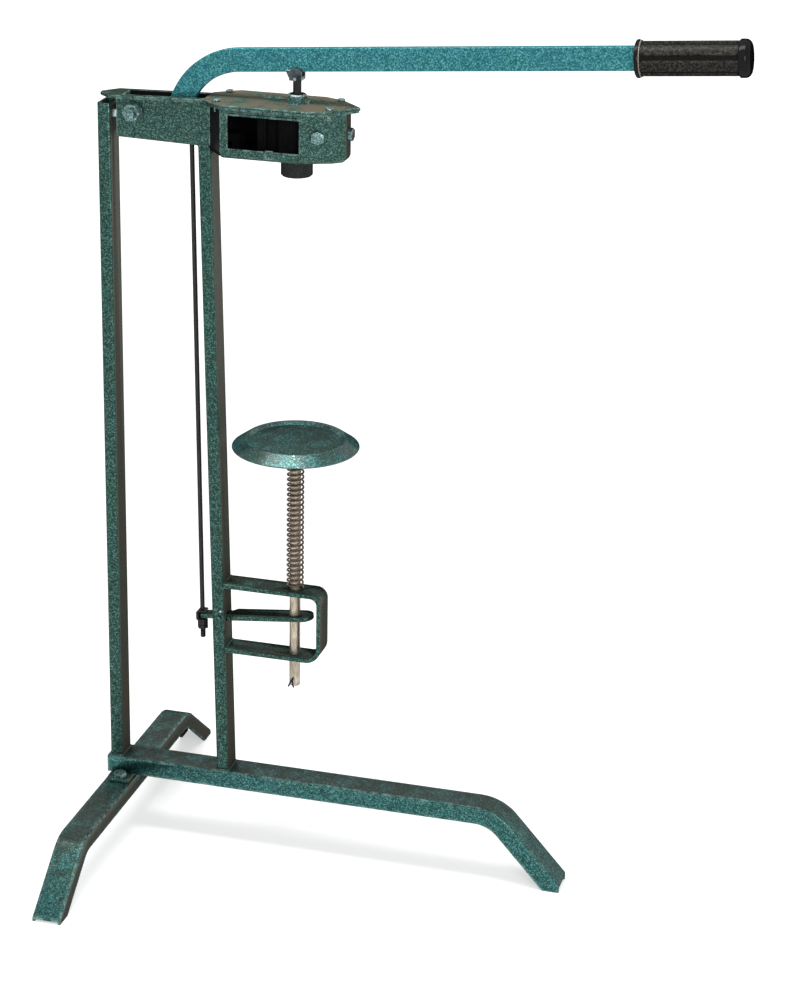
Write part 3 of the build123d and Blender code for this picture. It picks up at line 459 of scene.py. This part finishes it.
def plated(name, bright, dull, roughness=0.34):
    """Zinc plate, duller in blotches."""
    material, tree, shader, where = new_material(name, 1.0, roughness)
    grain = place_group(tree, GRAIN, where, Size=0.6 * MM, Stretch=(1, 1, 1))
    body = mixed(tree, (grain, "Blotch"), bright, dull)
    wire(tree, *body, shader, "Base Color")
    rough = maths(tree, "MULTIPLY_ADD", (grain, "Blotch"), 0.22, roughness)
    wire(tree, *rough, shader, "Roughness")
    bump(tree, shader, (grain, "Streak"), 0.12, 0.1 * MM)
    return material


def steel(name, bright, dull, stretch, metallic=0.9, roughness=0.35, gloss=0.4):
    """Steel with drawn streaks and dull blotches. Oiled steel has a film and isn't metallic."""
    material, tree, shader, where = new_material(name, metallic, roughness)
    grain = place_group(tree, GRAIN, where, Size=0.7 * MM, Stretch=stretch)
    edges = place_group(tree, EDGES, where, Amount=0.5, Width=0.7 * MM)
    body = mixed(tree, (grain, "Streak"), bright, dull)
    body = mixed(tree, maths(tree, "MULTIPLY", (grain, "Blotch"), 0.5), body, dull)
    body = mixed(tree, (edges, "Mask"), body, bright)
    wire(tree, *body, shader, "Base Color")
    rough = maths(tree, "MULTIPLY_ADD", (grain, "Blotch"), 0.2, roughness)
    wire(tree, *rough, shader, "Roughness")
    if metallic < 0.5:
        shine(tree, shader, gloss, roughness)
    bump(tree, shader, (grain, "Streak"), 0.15, 0.08 * MM)
    return material


def moulded_rubber(name, dark, light, gloss=0.15, roughness=0.35):
    """Moulded rubber with a fine pebbled skin, rubbed lighter on its ridges."""
    material, tree, shader, where = new_material(name, 0.0, 0.7)
    edges = place_group(tree, EDGES, where, Amount=0.9, Width=1.6 * MM)
    skin = noise(tree, where, 2.4 * MM, 4.0, 0.75)
    body = mixed(tree, ramp(tree, skin, 0.40, 0.66), dark, light)
    body = mixed(tree, maths(tree, "MULTIPLY", (edges, "Mask"), 0.6), body, light)
    wire(tree, *body, shader, "Base Color")
    shine(tree, shader, gloss, roughness)
    bump(tree, shader, skin, 0.35, 0.25 * MM)
    return material


# Near-black brown for upward faces: some dust, and mostly painted shade on the tops.
GRIME_AND_SHADE = colour(0.026, 0.026, 0.018)
# Brown for the forward faces: painted shade.
FRONT_SHADE_BROWN = colour(0.085, 0.076, 0.060)
PITCH_BLACK = colour(0.012, 0.012, 0.013)
# Pale green for edges: worn paint and painted highlights.
WORN_HIGHLIGHT_GREEN = colour(0.22, 0.36, 0.33)

# The enamels' colours: lit, shade, tint, fleck, and worn edge with painted highlight
FRAME_PAINT = (
    colour(0.037, 0.092, 0.070), colour(0.011, 0.029, 0.024), colour(0.021, 0.082, 0.084),
    colour(0.115, 0.265, 0.220), WORN_HIGHLIGHT_GREEN)
DISH_PAINT = (
    colour(0.026, 0.104, 0.092), colour(0.008, 0.034, 0.030), colour(0.020, 0.115, 0.125),
    colour(0.105, 0.310, 0.295), WORN_HIGHLIGHT_GREEN)
LEVER_PAINT = (
    colour(0.038, 0.225, 0.232), colour(0.013, 0.092, 0.106), colour(0.028, 0.160, 0.230),
    colour(0.130, 0.440, 0.450), colour(0.20, 0.46, 0.48))
# The bolts' pale edge colour paints their highlights.
BOLT_PAINT = (
    colour(0.075, 0.190, 0.180), colour(0.020, 0.052, 0.050), colour(0.050, 0.170, 0.190),
    colour(0.30, 0.50, 0.48), colour(0.55, 0.70, 0.70))

# The finish of each slot
MATERIALS = {
    "green_paint": enamel("frame_enamel", *FRAME_PAINT),
    "lever_paint": enamel("lever_enamel", *LEVER_PAINT, wear_and_highlight=0.3, dust_and_shade=0.15),
    "zinc_plate": plated("zinc_plating", colour(0.42, 0.50, 0.53), colour(0.14, 0.17, 0.18)),
    "bright_steel": steel(
        "turned_bar", colour(0.62, 0.56, 0.46), colour(0.30, 0.25, 0.19), (1, 1, 0.08)),
    "dark_steel": steel(
        "oiled_steel", colour(0.040, 0.038, 0.036), PITCH_BLACK, (1, 1, 0.06),
        metallic=0.0, roughness=0.3),
    "spring_steel": steel(
        "spring_wire", colour(0.20, 0.145, 0.11), colour(0.05, 0.035, 0.028), (1, 1, 1)),
    # The jaws are near black: painted shade for the dark inside of the head.
    "jaw_steel": steel(
        "jaw_steel", colour(0.011, 0.010, 0.010), colour(0.004, 0.004, 0.004), (1, 1, 0.1),
        metallic=0.0, roughness=0.6, gloss=0.03),
    "bush_bronze": steel(
        "bush_bronze", colour(0.60, 0.40, 0.18), colour(0.25, 0.15, 0.06), (1, 1, 1)),
    "grip_rubber": moulded_rubber(
        "grip_rubber", colour(0.006, 0.005, 0.005), colour(0.060, 0.057, 0.047)),
    "seal_rubber": moulded_rubber(
        "seal_rubber", colour(0.012, 0.012, 0.012), colour(0.04, 0.04, 0.04)),
}

# The pieces finished otherwise than the rest of their slot, several of them with painted light or
# shade
CAP_BLACK = moulded_rubber("cap_black", colour(0.004, 0.004, 0.004), colour(0.011, 0.010, 0.010),
                           gloss=0.22, roughness=0.16)
# The pale ring stands for the light line at the grip's collar: a painted highlight.
RING_HIGHLIGHT = moulded_rubber("ring_painted_highlight", colour(0.16, 0.15, 0.12), colour(0.42, 0.40, 0.34))
# The head's bends take a wide edge mask that paints highlight lines along them; its inside takes
# painted shade.
HEAD_ENAMEL = enamel("head_enamel", *FRAME_PAINT, wear_and_highlight=1.0, gloss=0.25, inside_shade=True, width=3.0 * MM)
LID_ENAMEL = enamel("lid_enamel", *FRAME_PAINT, wear_and_highlight=1.0, dust_and_shade=1.0,
                    dust_shade_colour=colour(0.115, 0.100, 0.072))
# A wide edge mask on the base bar and crossbar paints highlight lines along their bends.
FOOT_ENAMEL = enamel("foot_enamel", *DISH_PAINT, wear_and_highlight=1.0, gloss=0.2, flake=0.95, width=5.0 * MM)
# Bolts and the plunger guide: pale edges and strong gloss, with painted highlights on their edges.
BOLT_ENAMEL = enamel("bolt_enamel", *BOLT_PAINT, wear_and_highlight=1.0, gloss=1.0, flake=0.6)
DISH_ENAMEL = enamel("dish_enamel", *DISH_PAINT, gloss=0.5, flake=1.0, dust_and_shade=0.7)
# The collar under the head is near black, not green like its slot: painted shade under the housing.
COLLAR_SHADE_STEEL = steel("collar_painted_shade", colour(0.030, 0.036, 0.033), PITCH_BLACK, (1, 1, 0.2),
                     metallic=0.0, roughness=0.4, gloss=0.25)
# Dark zinc on the saddle is painted shade; bright zinc on its wing and on the hanger nuts is a
# painted highlight.
SADDLE_SHADE_ZINC = plated("saddle_zinc_painted_shade", colour(0.085, 0.105, 0.115), colour(0.018, 0.022, 0.025))
HIGHLIGHT_ZINC = plated("zinc_painted_highlight", colour(0.55, 0.66, 0.66), colour(0.22, 0.30, 0.30))
OWN_FINISH = {"head_housing": HEAD_ENAMEL, "head_lid": LID_ENAMEL, "outlet_collar": COLLAR_SHADE_STEEL,
              "plunger_saddle": SADDLE_SHADE_ZINC, "hanger_nuts": HIGHLIGHT_ZINC}
OWN_FINISH.update(dict.fromkeys(("crossbar", "base_bar"), FOOT_ENAMEL))
# The jaw pieces take the near-black jaw steel: painted shade inside the head.
OWN_FINISH.update(dict.fromkeys(
    ("jaw_slide", "rear_jaw_block", "jaw_keeper"), MATERIALS["jaw_steel"]))
OWN_FINISH.update(dict.fromkeys(
    ("pivot_nut", "pivot_bolt", "facet_bolts", "lid_screws", "base_bolts", "plunger_guide"),
    BOLT_ENAMEL))


def dress_nodes():
    """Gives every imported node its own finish, or that of its slot."""
    for name, node in nodes.items():
        node.data.materials.clear()
        node.data.materials.append(OWN_FINISH.get(name, MATERIALS[SLOT_OF[name]]))


# Modelling helpers

def deselect():
    """Clears the selection, so that an operator acts only on the new piece."""
    bpy.ops.object.select_all(action="DESELECT")


def choose(piece):
    """Makes the piece the only selected object, and the active one."""
    deselect()
    piece.select_set(True)
    bpy.context.view_layer.objects.active = piece


def settle():
    """Takes the object's place, turn and size into its mesh."""
    bpy.ops.object.transform_apply(location=True, rotation=True, scale=True)


def edit_all():
    """Enters edit mode with the whole mesh selected."""
    bpy.ops.object.mode_set(mode="EDIT")
    bpy.ops.mesh.select_all(action="SELECT")


def leave_edit():
    """Leaves edit mode, so that the mesh holds what was modelled."""
    bpy.ops.object.mode_set(mode="OBJECT")


def grab(piece, kind, test):
    """Selects, in edit mode, the vertices, edges or faces whose corners pass the test."""
    bpy.ops.object.mode_set(mode="EDIT")
    bpy.ops.mesh.select_mode(type=kind)
    bpy.ops.mesh.select_all(action="DESELECT")
    leave_edit()
    points = piece.data.vertices
    if kind == "VERT":
        for point in points:
            point.select = test([point.co])
    else:
        for item in piece.data.edges if kind == "EDGE" else piece.data.polygons:
            item.select = test([points[i].co for i in item.vertices])
    bpy.ops.object.mode_set(mode="EDIT")


def widen(factor):
    """Scales the selection about the Z axis."""
    bpy.ops.transform.resize(value=(factor, factor, 1), center_override=(0, 0, 0))


def draw_out(x, y, z):
    """Extrudes the selection by a shift along the axes."""
    bpy.ops.mesh.extrude_region_move(TRANSFORM_OT_translate={"value": (x, y, z)})


def pull(rise, factor=1.0):
    """Extrudes the selected face along Z, then widens it about its own middle."""
    draw_out(0, 0, rise)
    if factor != 1.0:
        bpy.ops.transform.resize(value=(factor, factor, 1))


def disc(radius, height, corners):
    """A flat filled circle about the Z axis, the start of a turned or drawn piece."""
    deselect()
    bpy.ops.mesh.primitive_circle_add(
        vertices=corners, radius=radius, fill_type="NGON", location=(0, 0, height))
    settle()
    return bpy.context.active_object


def close_up():
    """Turns the normals outwards and leaves edit mode."""
    bpy.ops.mesh.select_all(action="SELECT")
    bpy.ops.mesh.normals_make_consistent(inside=False)
    leave_edit()


def turned(profile, corners=64):
    """A solid turned about Z: a disc at the first (radius, height), drawn on through the others."""
    radius, height = profile[0]
    piece = disc(radius, height, corners)
    edit_all()
    for next_radius, next_height in profile[1:]:
        pull(next_height - height)
        widen(next_radius / radius)
        radius, height = next_radius, next_height
    close_up()
    return piece


def rounded(piece, width, segments=2, angle=30.0, clamp=True):
    """Rounds the edges that are sharper than the angle."""
    choose(piece)
    bpy.ops.object.shade_smooth()
    bevel = piece.modifiers.new("rounding", "BEVEL")
    bevel.width = width
    bevel.segments = segments
    bevel.limit_method = "ANGLE"
    bevel.angle_limit = radians(angle)
    bevel.use_clamp_overlap = clamp
    bevel.harden_normals = True
    bpy.ops.object.modifier_apply(modifier="rounding")


def refinish(piece, material, test):
    """Gives a second finish to the faces whose corners pass the test."""
    piece.data.materials.append(material)
    grab(piece, "FACE", test)
    piece.active_material_index = 1
    bpy.ops.object.material_slot_assign()
    leave_edit()


def finished(piece, name, body, slot_name, place=None, material=None, smooth=None, replaced=()):
    """Puts the piece in place, names it, gives it its finish and hangs it on its body."""
    choose(piece)
    if place is not None:
        piece.matrix_world = place
    settle()
    if smooth is not None:
        bpy.ops.object.shade_smooth_by_angle(angle=radians(smooth))
    piece.name = name
    piece.data.name = name
    if not piece.data.materials:
        piece.data.materials.append(material or MATERIALS[slot_name])
    if body:
        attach(piece, body)
    if replaced:
        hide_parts(*replaced)
    return piece


def joined(pieces):
    """Several meshes made one."""
    deselect()
    for piece in pieces:
        piece.select_set(True)
    bpy.context.view_layer.objects.active = pieces[0]
    bpy.ops.object.join()
    return bpy.context.active_object


def along(start, end):
    """The place of a piece drawn up Z from the origin, laid from start towards end."""
    turn = (end - start).to_track_quat("Z", "Y").to_matrix().to_4x4()
    return Matrix.Translation(start) @ turn


# Painted and plated steel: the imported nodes, with the small radius that an edge has

def softened(name, width, segments=2, clamp=False):
    """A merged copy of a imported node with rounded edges, which then stands for it."""
    copy = nodes[name].copy()
    copy.data = nodes[name].data.copy()
    copy.parent = None
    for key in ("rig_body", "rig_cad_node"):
        del copy[key]
    bpy.context.scene.collection.objects.link(copy)
    choose(copy)
    edit_all()
    bpy.ops.mesh.remove_doubles(threshold=MERGE_DISTANCE)
    bpy.ops.mesh.dissolve_limited(angle_limit=radians(1.0))
    leave_edit()
    if width:
        rounded(copy, width, segments, 32.0, clamp)
    return finished(copy, name + "_finished", BODY_OF[name], SLOT_OF[name], replaced=(name,))


def soften_steel():
    """Rounds the edges of the pieces that show, by widths in millimetres."""
    widths = {"crossbar": 0.5, "base_bar": 0.5, "base_lug_plate": 0.5, "rear_post": 0.3,
              "front_post": 0.3, "head_lid": 0.6, "platform_bracket": 0.7, "lock_plate": 0.6,
              "base_bolts": 0.35, "hanger_nuts": 0.35, "pivot_bolt": 0.35, "pivot_nut": 0.35,
              "facet_bolts": 0.35, "pivot_washers": 0.3, "rod_nuts": 0.25}
    for name, width in widths.items():
        softened(name, width * MM)


def fill_screw_holes():
    """The lid's screws, with ends long enough to fill their notches in the box's walls."""
    screws = softened("lid_screws", 0.3 * MM)
    grab(screws, "VERT", lambda corners: corners[0].z < SCREW_TIP + 0.6 * MM)
    bpy.ops.transform.translate(value=(0, 0, -SCREW_REACH))
    leave_edit()


def tone_saddle():
    """The saddle's rear wing gets bright zinc, a painted highlight, and the rest dark zinc, a
    painted shade.
    """
    saddle = softened("plunger_saddle", 0.3 * MM)

    def in_wing(corners):
        return sum(corner.x for corner in corners) / len(corners) < AXIS_X - SADDLE_WING

    refinish(saddle, HIGHLIGHT_ZINC, in_wing)


# The lever and its hand grip

def make_lever():
    """The flat bar with its swan neck, and the hub and toe below it in the arm."""
    toe = softened("lever_bar", 0)
    toe.name = toe.data.name = "lever_toe"
    choose(toe)
    edit_all()
    bpy.ops.mesh.bisect(
        plane_co=(0, 0, TOE_TOP), plane_no=(0, 0, 1), clear_outer=True, use_fill=True)
    leave_edit()
    bar_line = NECK_CENTRE.z + NECK_RADIUS
    deselect()
    bpy.ops.mesh.primitive_plane_add(
        size=1, location=(BAR_END, 0, bar_line), rotation=(0, pi / 2, 0))
    bar = bpy.context.active_object
    bar.scale = (BAR_HEIGHT, BAR_THICKNESS, 1)
    settle()
    edit_all()
    draw_out(NECK_CENTRE.x - BAR_END, 0, 0)
    bpy.ops.mesh.spin(steps=26, angle=NECK_TURN, center=NECK_CENTRE, axis=(0, 1, 0))
    draw_out(-NECK_TAIL * cos(NECK_TURN), 0, -NECK_TAIL * sin(NECK_TURN))
    close_up()
    rounded(bar, 1.0 * MM, 3, 40.0)
    place = Matrix.Translation(PIVOT) @ Matrix.Rotation(-LEVER_TILT, 4, "Y")
    finished(bar, "lever_neck", "lever", "lever_paint", place)


def make_grip():
    """The fluted grip with its collar and domed cap, on the lever's end."""
    turn = Matrix.Rotation(pi / 2 - LEVER_TILT, 4, "Y")
    place = Matrix.Translation(along_lever(GRIP_START, GRIP_HEIGHT)) @ turn
    start = COLLAR_LENGTH * 0.6
    sleeve = disc(GRIP_RADIUS, start, 96)

    def in_groove(corners):
        angle = atan2(corners[0].y, corners[0].x) - GROOVE_SPACING / 2 + GRIP_ROLL
        return abs(angle - GROOVE_SPACING * round(angle / GROOVE_SPACING)) < GROOVE_HALF_TURN

    grab(sleeve, "VERT", in_groove)
    widen(GROOVE_DEPTH)
    bpy.ops.mesh.select_all(action="SELECT")
    for i in range(3):
        pull((GRIP_LENGTH - start) / 3)
    close_up()
    rounded(sleeve, 0.5 * MM, 2, 30.0)
    sleeve.data.materials.append(MATERIALS["grip_rubber"])
    # The groove floors take the black cap rubber: painted shade in the grooves.
    limit = GRIP_RADIUS * (1 + GROOVE_DEPTH) / 2
    refinish(sleeve, CAP_BLACK, lambda corners: max(corner.xy.length for corner in corners) < limit)
    finished(sleeve, "grip_flutes", "lever", "grip_rubber", place, replaced=("grip_sleeve",))

    # A pale ring at the collar: a painted highlight.
    bore = GRIP_RADIUS * 0.9
    ring = turned([(bore, 0), (RING_RADIUS, 0), (RING_RADIUS, RING_WIDTH), (bore, RING_WIDTH)], 96)
    finished(ring, "grip_ring", "lever", "grip_rubber",
             place @ Matrix.Translation((0, 0, COLLAR_LENGTH)), RING_HIGHLIGHT, 40)

    rim = GRIP_CAP_RADIUS
    half = [(rim - 1.6 * MM, 0), (rim - 0.4 * MM, 0.7 * MM), (rim, 1.9 * MM)]
    other_half = [(radius, COLLAR_LENGTH - height) for radius, height in reversed(half)]
    collar = turned(half + other_half, 96)
    finished(collar, "grip_collar", "lever", "grip_rubber", place, CAP_BLACK, 40.0)

    cap = turned([(rim - 0.9 * MM, 0), (rim, 0.9 * MM), (rim, CAP_LENGTH)], 96)
    rounded(cap, 6.2 * MM, 7, 80.0)
    finished(cap, "grip_end", "lever", "grip_rubber",
             place @ Matrix.Translation((0, 0, GRIP_LENGTH)), CAP_BLACK, replaced=("grip_cap",))


# The platform

def make_dish():
    """The pressed dish: flat floor, raised bead and a skirt that slopes down."""
    top = DISH_HIGH.z
    rim = (DISH_HIGH.x - DISH_LOW.x) / 2
    floor = top - DISH_DEPTH
    place = Matrix.Translation((AXIS_X, 0, 0))
    dish = turned([(49.3 * MM, floor - 2.0 * MM), (51.9 * MM, floor + 0.9 * MM),
                   (53.4 * MM, floor + 1.4 * MM), (rim - 1.4 * MM, DISH_LOW.z),
                   (rim, DISH_LOW.z + 1.4 * MM), (54.0 * MM, top),
                   (51.0 * MM, floor + 3.2 * MM), (48.5 * MM, floor)], 128)
    rounded(dish, 1.1 * MM, 3, 12.0)
    finished(dish, "dish_pressing", "platform", "green_paint", place, DISH_ENAMEL,
             replaced=("platform_dish",))
    bead = turned([(13.0 * MM, floor - 5.2 * MM), (13.9 * MM, floor - 4.6 * MM),
                   (14.6 * MM, floor - 3.4 * MM), (16.4 * MM, floor - 2.3 * MM),
                   (16.6 * MM, floor - 1.9 * MM)], 48)
    finished(bead, "boss_weld", "platform", "green_paint", place, None, 60.0)


def coil(wire_radius, coil_radius, turns, length, sides, steps):
    """A helix of wire about Z, from the origin up, with closed ends."""
    deselect()
    bpy.ops.mesh.primitive_circle_add(vertices=sides, radius=wire_radius, rotation=(pi / 2, 0, 0),
                                      location=(coil_radius, 0, 0))
    piece = bpy.context.active_object
    settle()
    screw = piece.modifiers.new("coil", "SCREW")
    screw.axis = "Z"
    screw.angle = 2 * pi
    screw.screw_offset = length / turns
    screw.iterations = turns
    screw.steps = steps
    screw.render_steps = steps
    bpy.ops.object.modifier_apply(modifier="coil")
    edit_all()
    bpy.ops.mesh.remove_doubles(threshold=MERGE_DISTANCE)
    bpy.ops.mesh.fill_holes(sides=sides)
    close_up()
    return piece


def make_rod():
    """The platform's round guide rod, chamfered at its foot."""
    low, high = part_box("platform_rod")
    radius = (high.x - low.x) / 2
    foot = low.z - ROD_FOOT
    rod = turned([(radius - 0.9 * MM, foot), (radius, foot + 0.9 * MM), (radius, high.z)], 48)
    finished(rod, "guide_rod", "platform", SLOT_OF["platform_rod"],
             Matrix.Translation((AXIS_X, 0, 0)), None, 30.0, ("platform_rod",))


def make_spring():
    """The platform's spring, as one smooth coil of round wire."""
    low = BRACKET_HIGH.z + SPRING_WIRE
    high = SEAT_LOW.z - SPRING_WIRE
    piece = coil(SPRING_WIRE, SPRING_RADIUS, SPRING_TURNS, high - low, 10, 28)
    place = Matrix.Translation((AXIS_X, 0, low))
    finished(piece, "platform_coil", None, "spring_steel", place, None, 60.0)
    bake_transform(piece)
    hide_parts("platform_spring")


def make_split_pin():
    """The split pin at the foot of the platform rod: an oval eye and two spread legs."""
    low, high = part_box("split_pin")
    height = high.z - PIN_DROP
    root = high.y - LEG_INSET
    deselect()
    bpy.ops.mesh.primitive_torus_add(
        major_radius=EYE_RADIUS, minor_radius=PIN_WIRE, major_segments=28, minor_segments=10,
        rotation=(0, pi / 2, 0))
    eye = bpy.context.active_object
    settle()
    grab(eye, "VERT", lambda corners: corners[0].y > 0)
    bpy.ops.transform.translate(value=(0, EYE_STRETCH, 0))
    leave_edit()
    eye.matrix_world = Matrix.Translation((AXIS_X, high.y - EYE_INSET, height))
    parts = [eye]
    for spread, lean in ((0.42, -0.42), (0.28, 0.28)):
        leg = disc(PIN_WIRE * 0.8, 0, 10)
        edit_all()
        pull(root - low.y - LEG_BEND)
        step = 1.6 * MM
        for i in range(3):
            draw_out(step * (i + 1) * 0.6, 0, step)
        for i in range(2):
            draw_out(1.3 * MM, 0, -spread * MM)
        close_up()
        turn = Matrix.Rotation(pi / 2, 4, "X") @ Matrix.Rotation(-pi / 2 + lean, 4, "Z")
        leg.matrix_world = Matrix.Translation((AXIS_X, root, height)) @ turn
        parts.append(leg)
    for part in parts:
        choose(part)
        settle()
    finished(joined(parts), "cotter_pin", "platform", "dark_steel", None, None, 50.0,
             ("split_pin",))


# Welds and threads

def weld(name, start, end, size, body="stand"):
    """A rippled weld bead from start to end."""
    start, end = Vector(start), Vector(end)
    length = (end - start).length
    ripples = max(3, round(length / RIPPLE))
    bead = disc(size * 0.55, 0, 8)
    edit_all()
    for i in range(ripples):
        pull(length / ripples * 0.55, 1.45 if i == 0 else 1.22)
        pull(length / ripples * 0.45, 0.82 if i < ripples - 1 else 0.55)
    close_up()
    finished(bead, name, body, "green_paint", along(start, end), None, 80.0)


def make_welds():
    """The beads where the posts, the bracket and the arm are joined."""
    post_low, post_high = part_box("front_post")
    half_x, half_y = POST_HALF_X, POST_HALF_Y
    base_top = post_low.z
    foot_x = post_high.x - half_x
    rear_x = sum(corner.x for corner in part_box("rear_post")) / 2
    for label, x in (("front_post", foot_x), ("rear_post", rear_x)):
        rear, front = x - half_x, x + half_x
        for side, y in (("near", -half_y), ("far", half_y)):
            weld(f"weld_{label}_{side}", (rear, y, base_top), (front, y, base_top), POST_WELD)
        weld(f"weld_{label}_front",
             (front, -half_y, base_top), (front, half_y, base_top), POST_WELD)
    rear = foot_x - half_x
    weld("weld_front_post_rear", (rear, -half_y, base_top), (rear, half_y, base_top), POST_WELD)
    for label, z in (("top", BRACKET_HIGH.z), ("under_top", BRACKET_HIGH.z - STRAP),
                     ("low", BRACKET_LOW.z + STRAP), ("under_low", BRACKET_LOW.z)):
        x = foot_x + half_x - (z - base_top) * tan(POST_LEAN)
        weld(f"weld_bracket_{label}", (x, -half_y, z), (x, half_y, z), STRAP_WELD)
    x = foot_x - (ARM_FLOOR - base_top) * tan(POST_LEAN)
    rear, front = x - half_x, x + half_x - 2 * MM
    for side, y in (("near", -ARM_HALF_WIDTH), ("far", ARM_HALF_WIDTH)):
        weld(f"weld_post_top_{side}", (rear, y, ARM_FLOOR), (front, y, ARM_FLOOR), ARM_WELD)


def make_threads():
    """The open screw thread on the lock rod's tail."""
    rod_low, rod_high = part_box("lock_rod")
    nuts_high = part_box("rod_nuts")[1]
    tail = nuts_high.z + 9 * MM - rod_low.z
    turns = round(tail / THREAD_PITCH)
    thread = coil(THREAD_WIRE, THREAD_RADIUS, turns, turns * THREAD_PITCH, 4, 14)
    foot = Vector((rod_high.x - 2.5 * MM, 0, rod_low.z + 0.4 * MM))
    finished(thread, "rod_thread", "lock_rod_set", "dark_steel",
             along(foot, foot + LOCK_ROD_LINE), None, 30.0)


# The studio

def seen(tree):
    """High for rays from the camera, mirrors and glass, which see the white backdrop."""
    path = tree.nodes.new("ShaderNodeLightPath")
    share = maths(tree, "MAXIMUM", (path, "Is Camera Ray"), (path, "Is Glossy Ray"))
    return maths(tree, "MAXIMUM", share, (path, "Is Transmission Ray"))


def make_floor():
    """A plain pale floor that runs far behind the machine and keeps its shadow."""
    deselect()
    bpy.ops.mesh.primitive_plane_add(size=FLOOR_SIZE, location=(0, 0, 0))
    floor = bpy.context.active_object
    floor.name = "studio_floor"
    material = bpy.data.materials.new("studio_floor")
    material.use_nodes = True
    tree = material.node_tree
    shader = tree.nodes["Principled BSDF"]
    socket_value(shader, "Base Color", colour(0.85, 0.85, 0.85))
    socket_value(shader, "Roughness", 0.9)
    socket_value(shader, "Emission Color", WHITE)
    where = tree.nodes.new("ShaderNodeTexCoord")
    span = tree.nodes.new("ShaderNodeVectorMath")
    span.operation = "LENGTH"
    wire(tree, where, "Object", span, 0)
    fade = ramp(tree, (span, "Value"), FADE_NEAR, FADE_FAR)
    fade = maths(tree, "MULTIPLY_ADD", fade, FLOOR_FADE, FLOOR_LIFT)
    wire(tree, *maths(tree, "MULTIPLY", seen(tree), fade), shader, "Emission Strength")
    floor.data.materials.append(material)


def make_lamp(name, place, target, size, power):
    """A soft box that faces the target."""
    lamp = bpy.data.lights.new(name, "AREA")
    lamp.shape = "RECTANGLE"
    lamp.size, lamp.size_y = size
    lamp.energy = power
    holder = bpy.data.objects.new(name, lamp)
    holder.location = place
    holder.rotation_mode = "QUATERNION"
    holder.rotation_quaternion = (target - Vector(place)).to_track_quat("-Z", "Y")
    bpy.context.scene.collection.objects.link(holder)


def make_light():
    """Soft studio light from the front right and from above, with a dim even surround."""
    world = bpy.data.worlds.new("studio")
    bpy.context.scene.world = world
    world.use_nodes = True
    tree = world.node_tree
    glow = mixed(tree, seen(tree), SURROUND, WHITE)
    wire(tree, *glow, tree.nodes["Background"], "Color")
    make_lamp("key", KEY_PLACE, VIEW_TARGET, KEY_SIZE, LAMP_POWER)
    make_lamp("top", TOP_PLACE, Vector((TOP_PLACE[0], TOP_PLACE[1], 0)), TOP_SIZE, LAMP_POWER)


def make_camera():
    """The photograph's camera."""
    back = Vector((sin(VIEW_AZIMUTH) * cos(VIEW_ELEVATION),
                   -cos(VIEW_AZIMUTH) * cos(VIEW_ELEVATION),
                   sin(VIEW_ELEVATION)))
    level = Vector((cos(VIEW_AZIMUTH), sin(VIEW_AZIMUTH), 0))
    upright = back.cross(level)
    right = cos(VIEW_ROLL) * level + sin(VIEW_ROLL) * upright
    up = -sin(VIEW_ROLL) * level + cos(VIEW_ROLL) * upright
    camera = bpy.data.cameras.new("photo_camera")
    camera.sensor_width = SENSOR
    camera.lens = VIEW_FOCAL_PIXELS * SENSOR / PHOTO_HEIGHT
    camera.clip_end = 50
    holder = bpy.data.objects.new("photo_camera", camera)
    turn = Matrix((right, up, back)).transposed().to_4x4()
    holder.matrix_world = Matrix.Translation(VIEW_TARGET + back * VIEW_DISTANCE) @ turn
    bpy.context.scene.collection.objects.link(holder)
    bpy.context.scene.camera = holder


dress_nodes()
soften_steel()
fill_screw_holes()
tone_saddle()
make_lever()
make_grip()
make_dish()
make_rod()
make_spring()
make_split_pin()
make_welds()
make_threads()
make_floor()
make_light()
make_camera()
bpy.context.scene.view_settings.view_transform = "Standard"
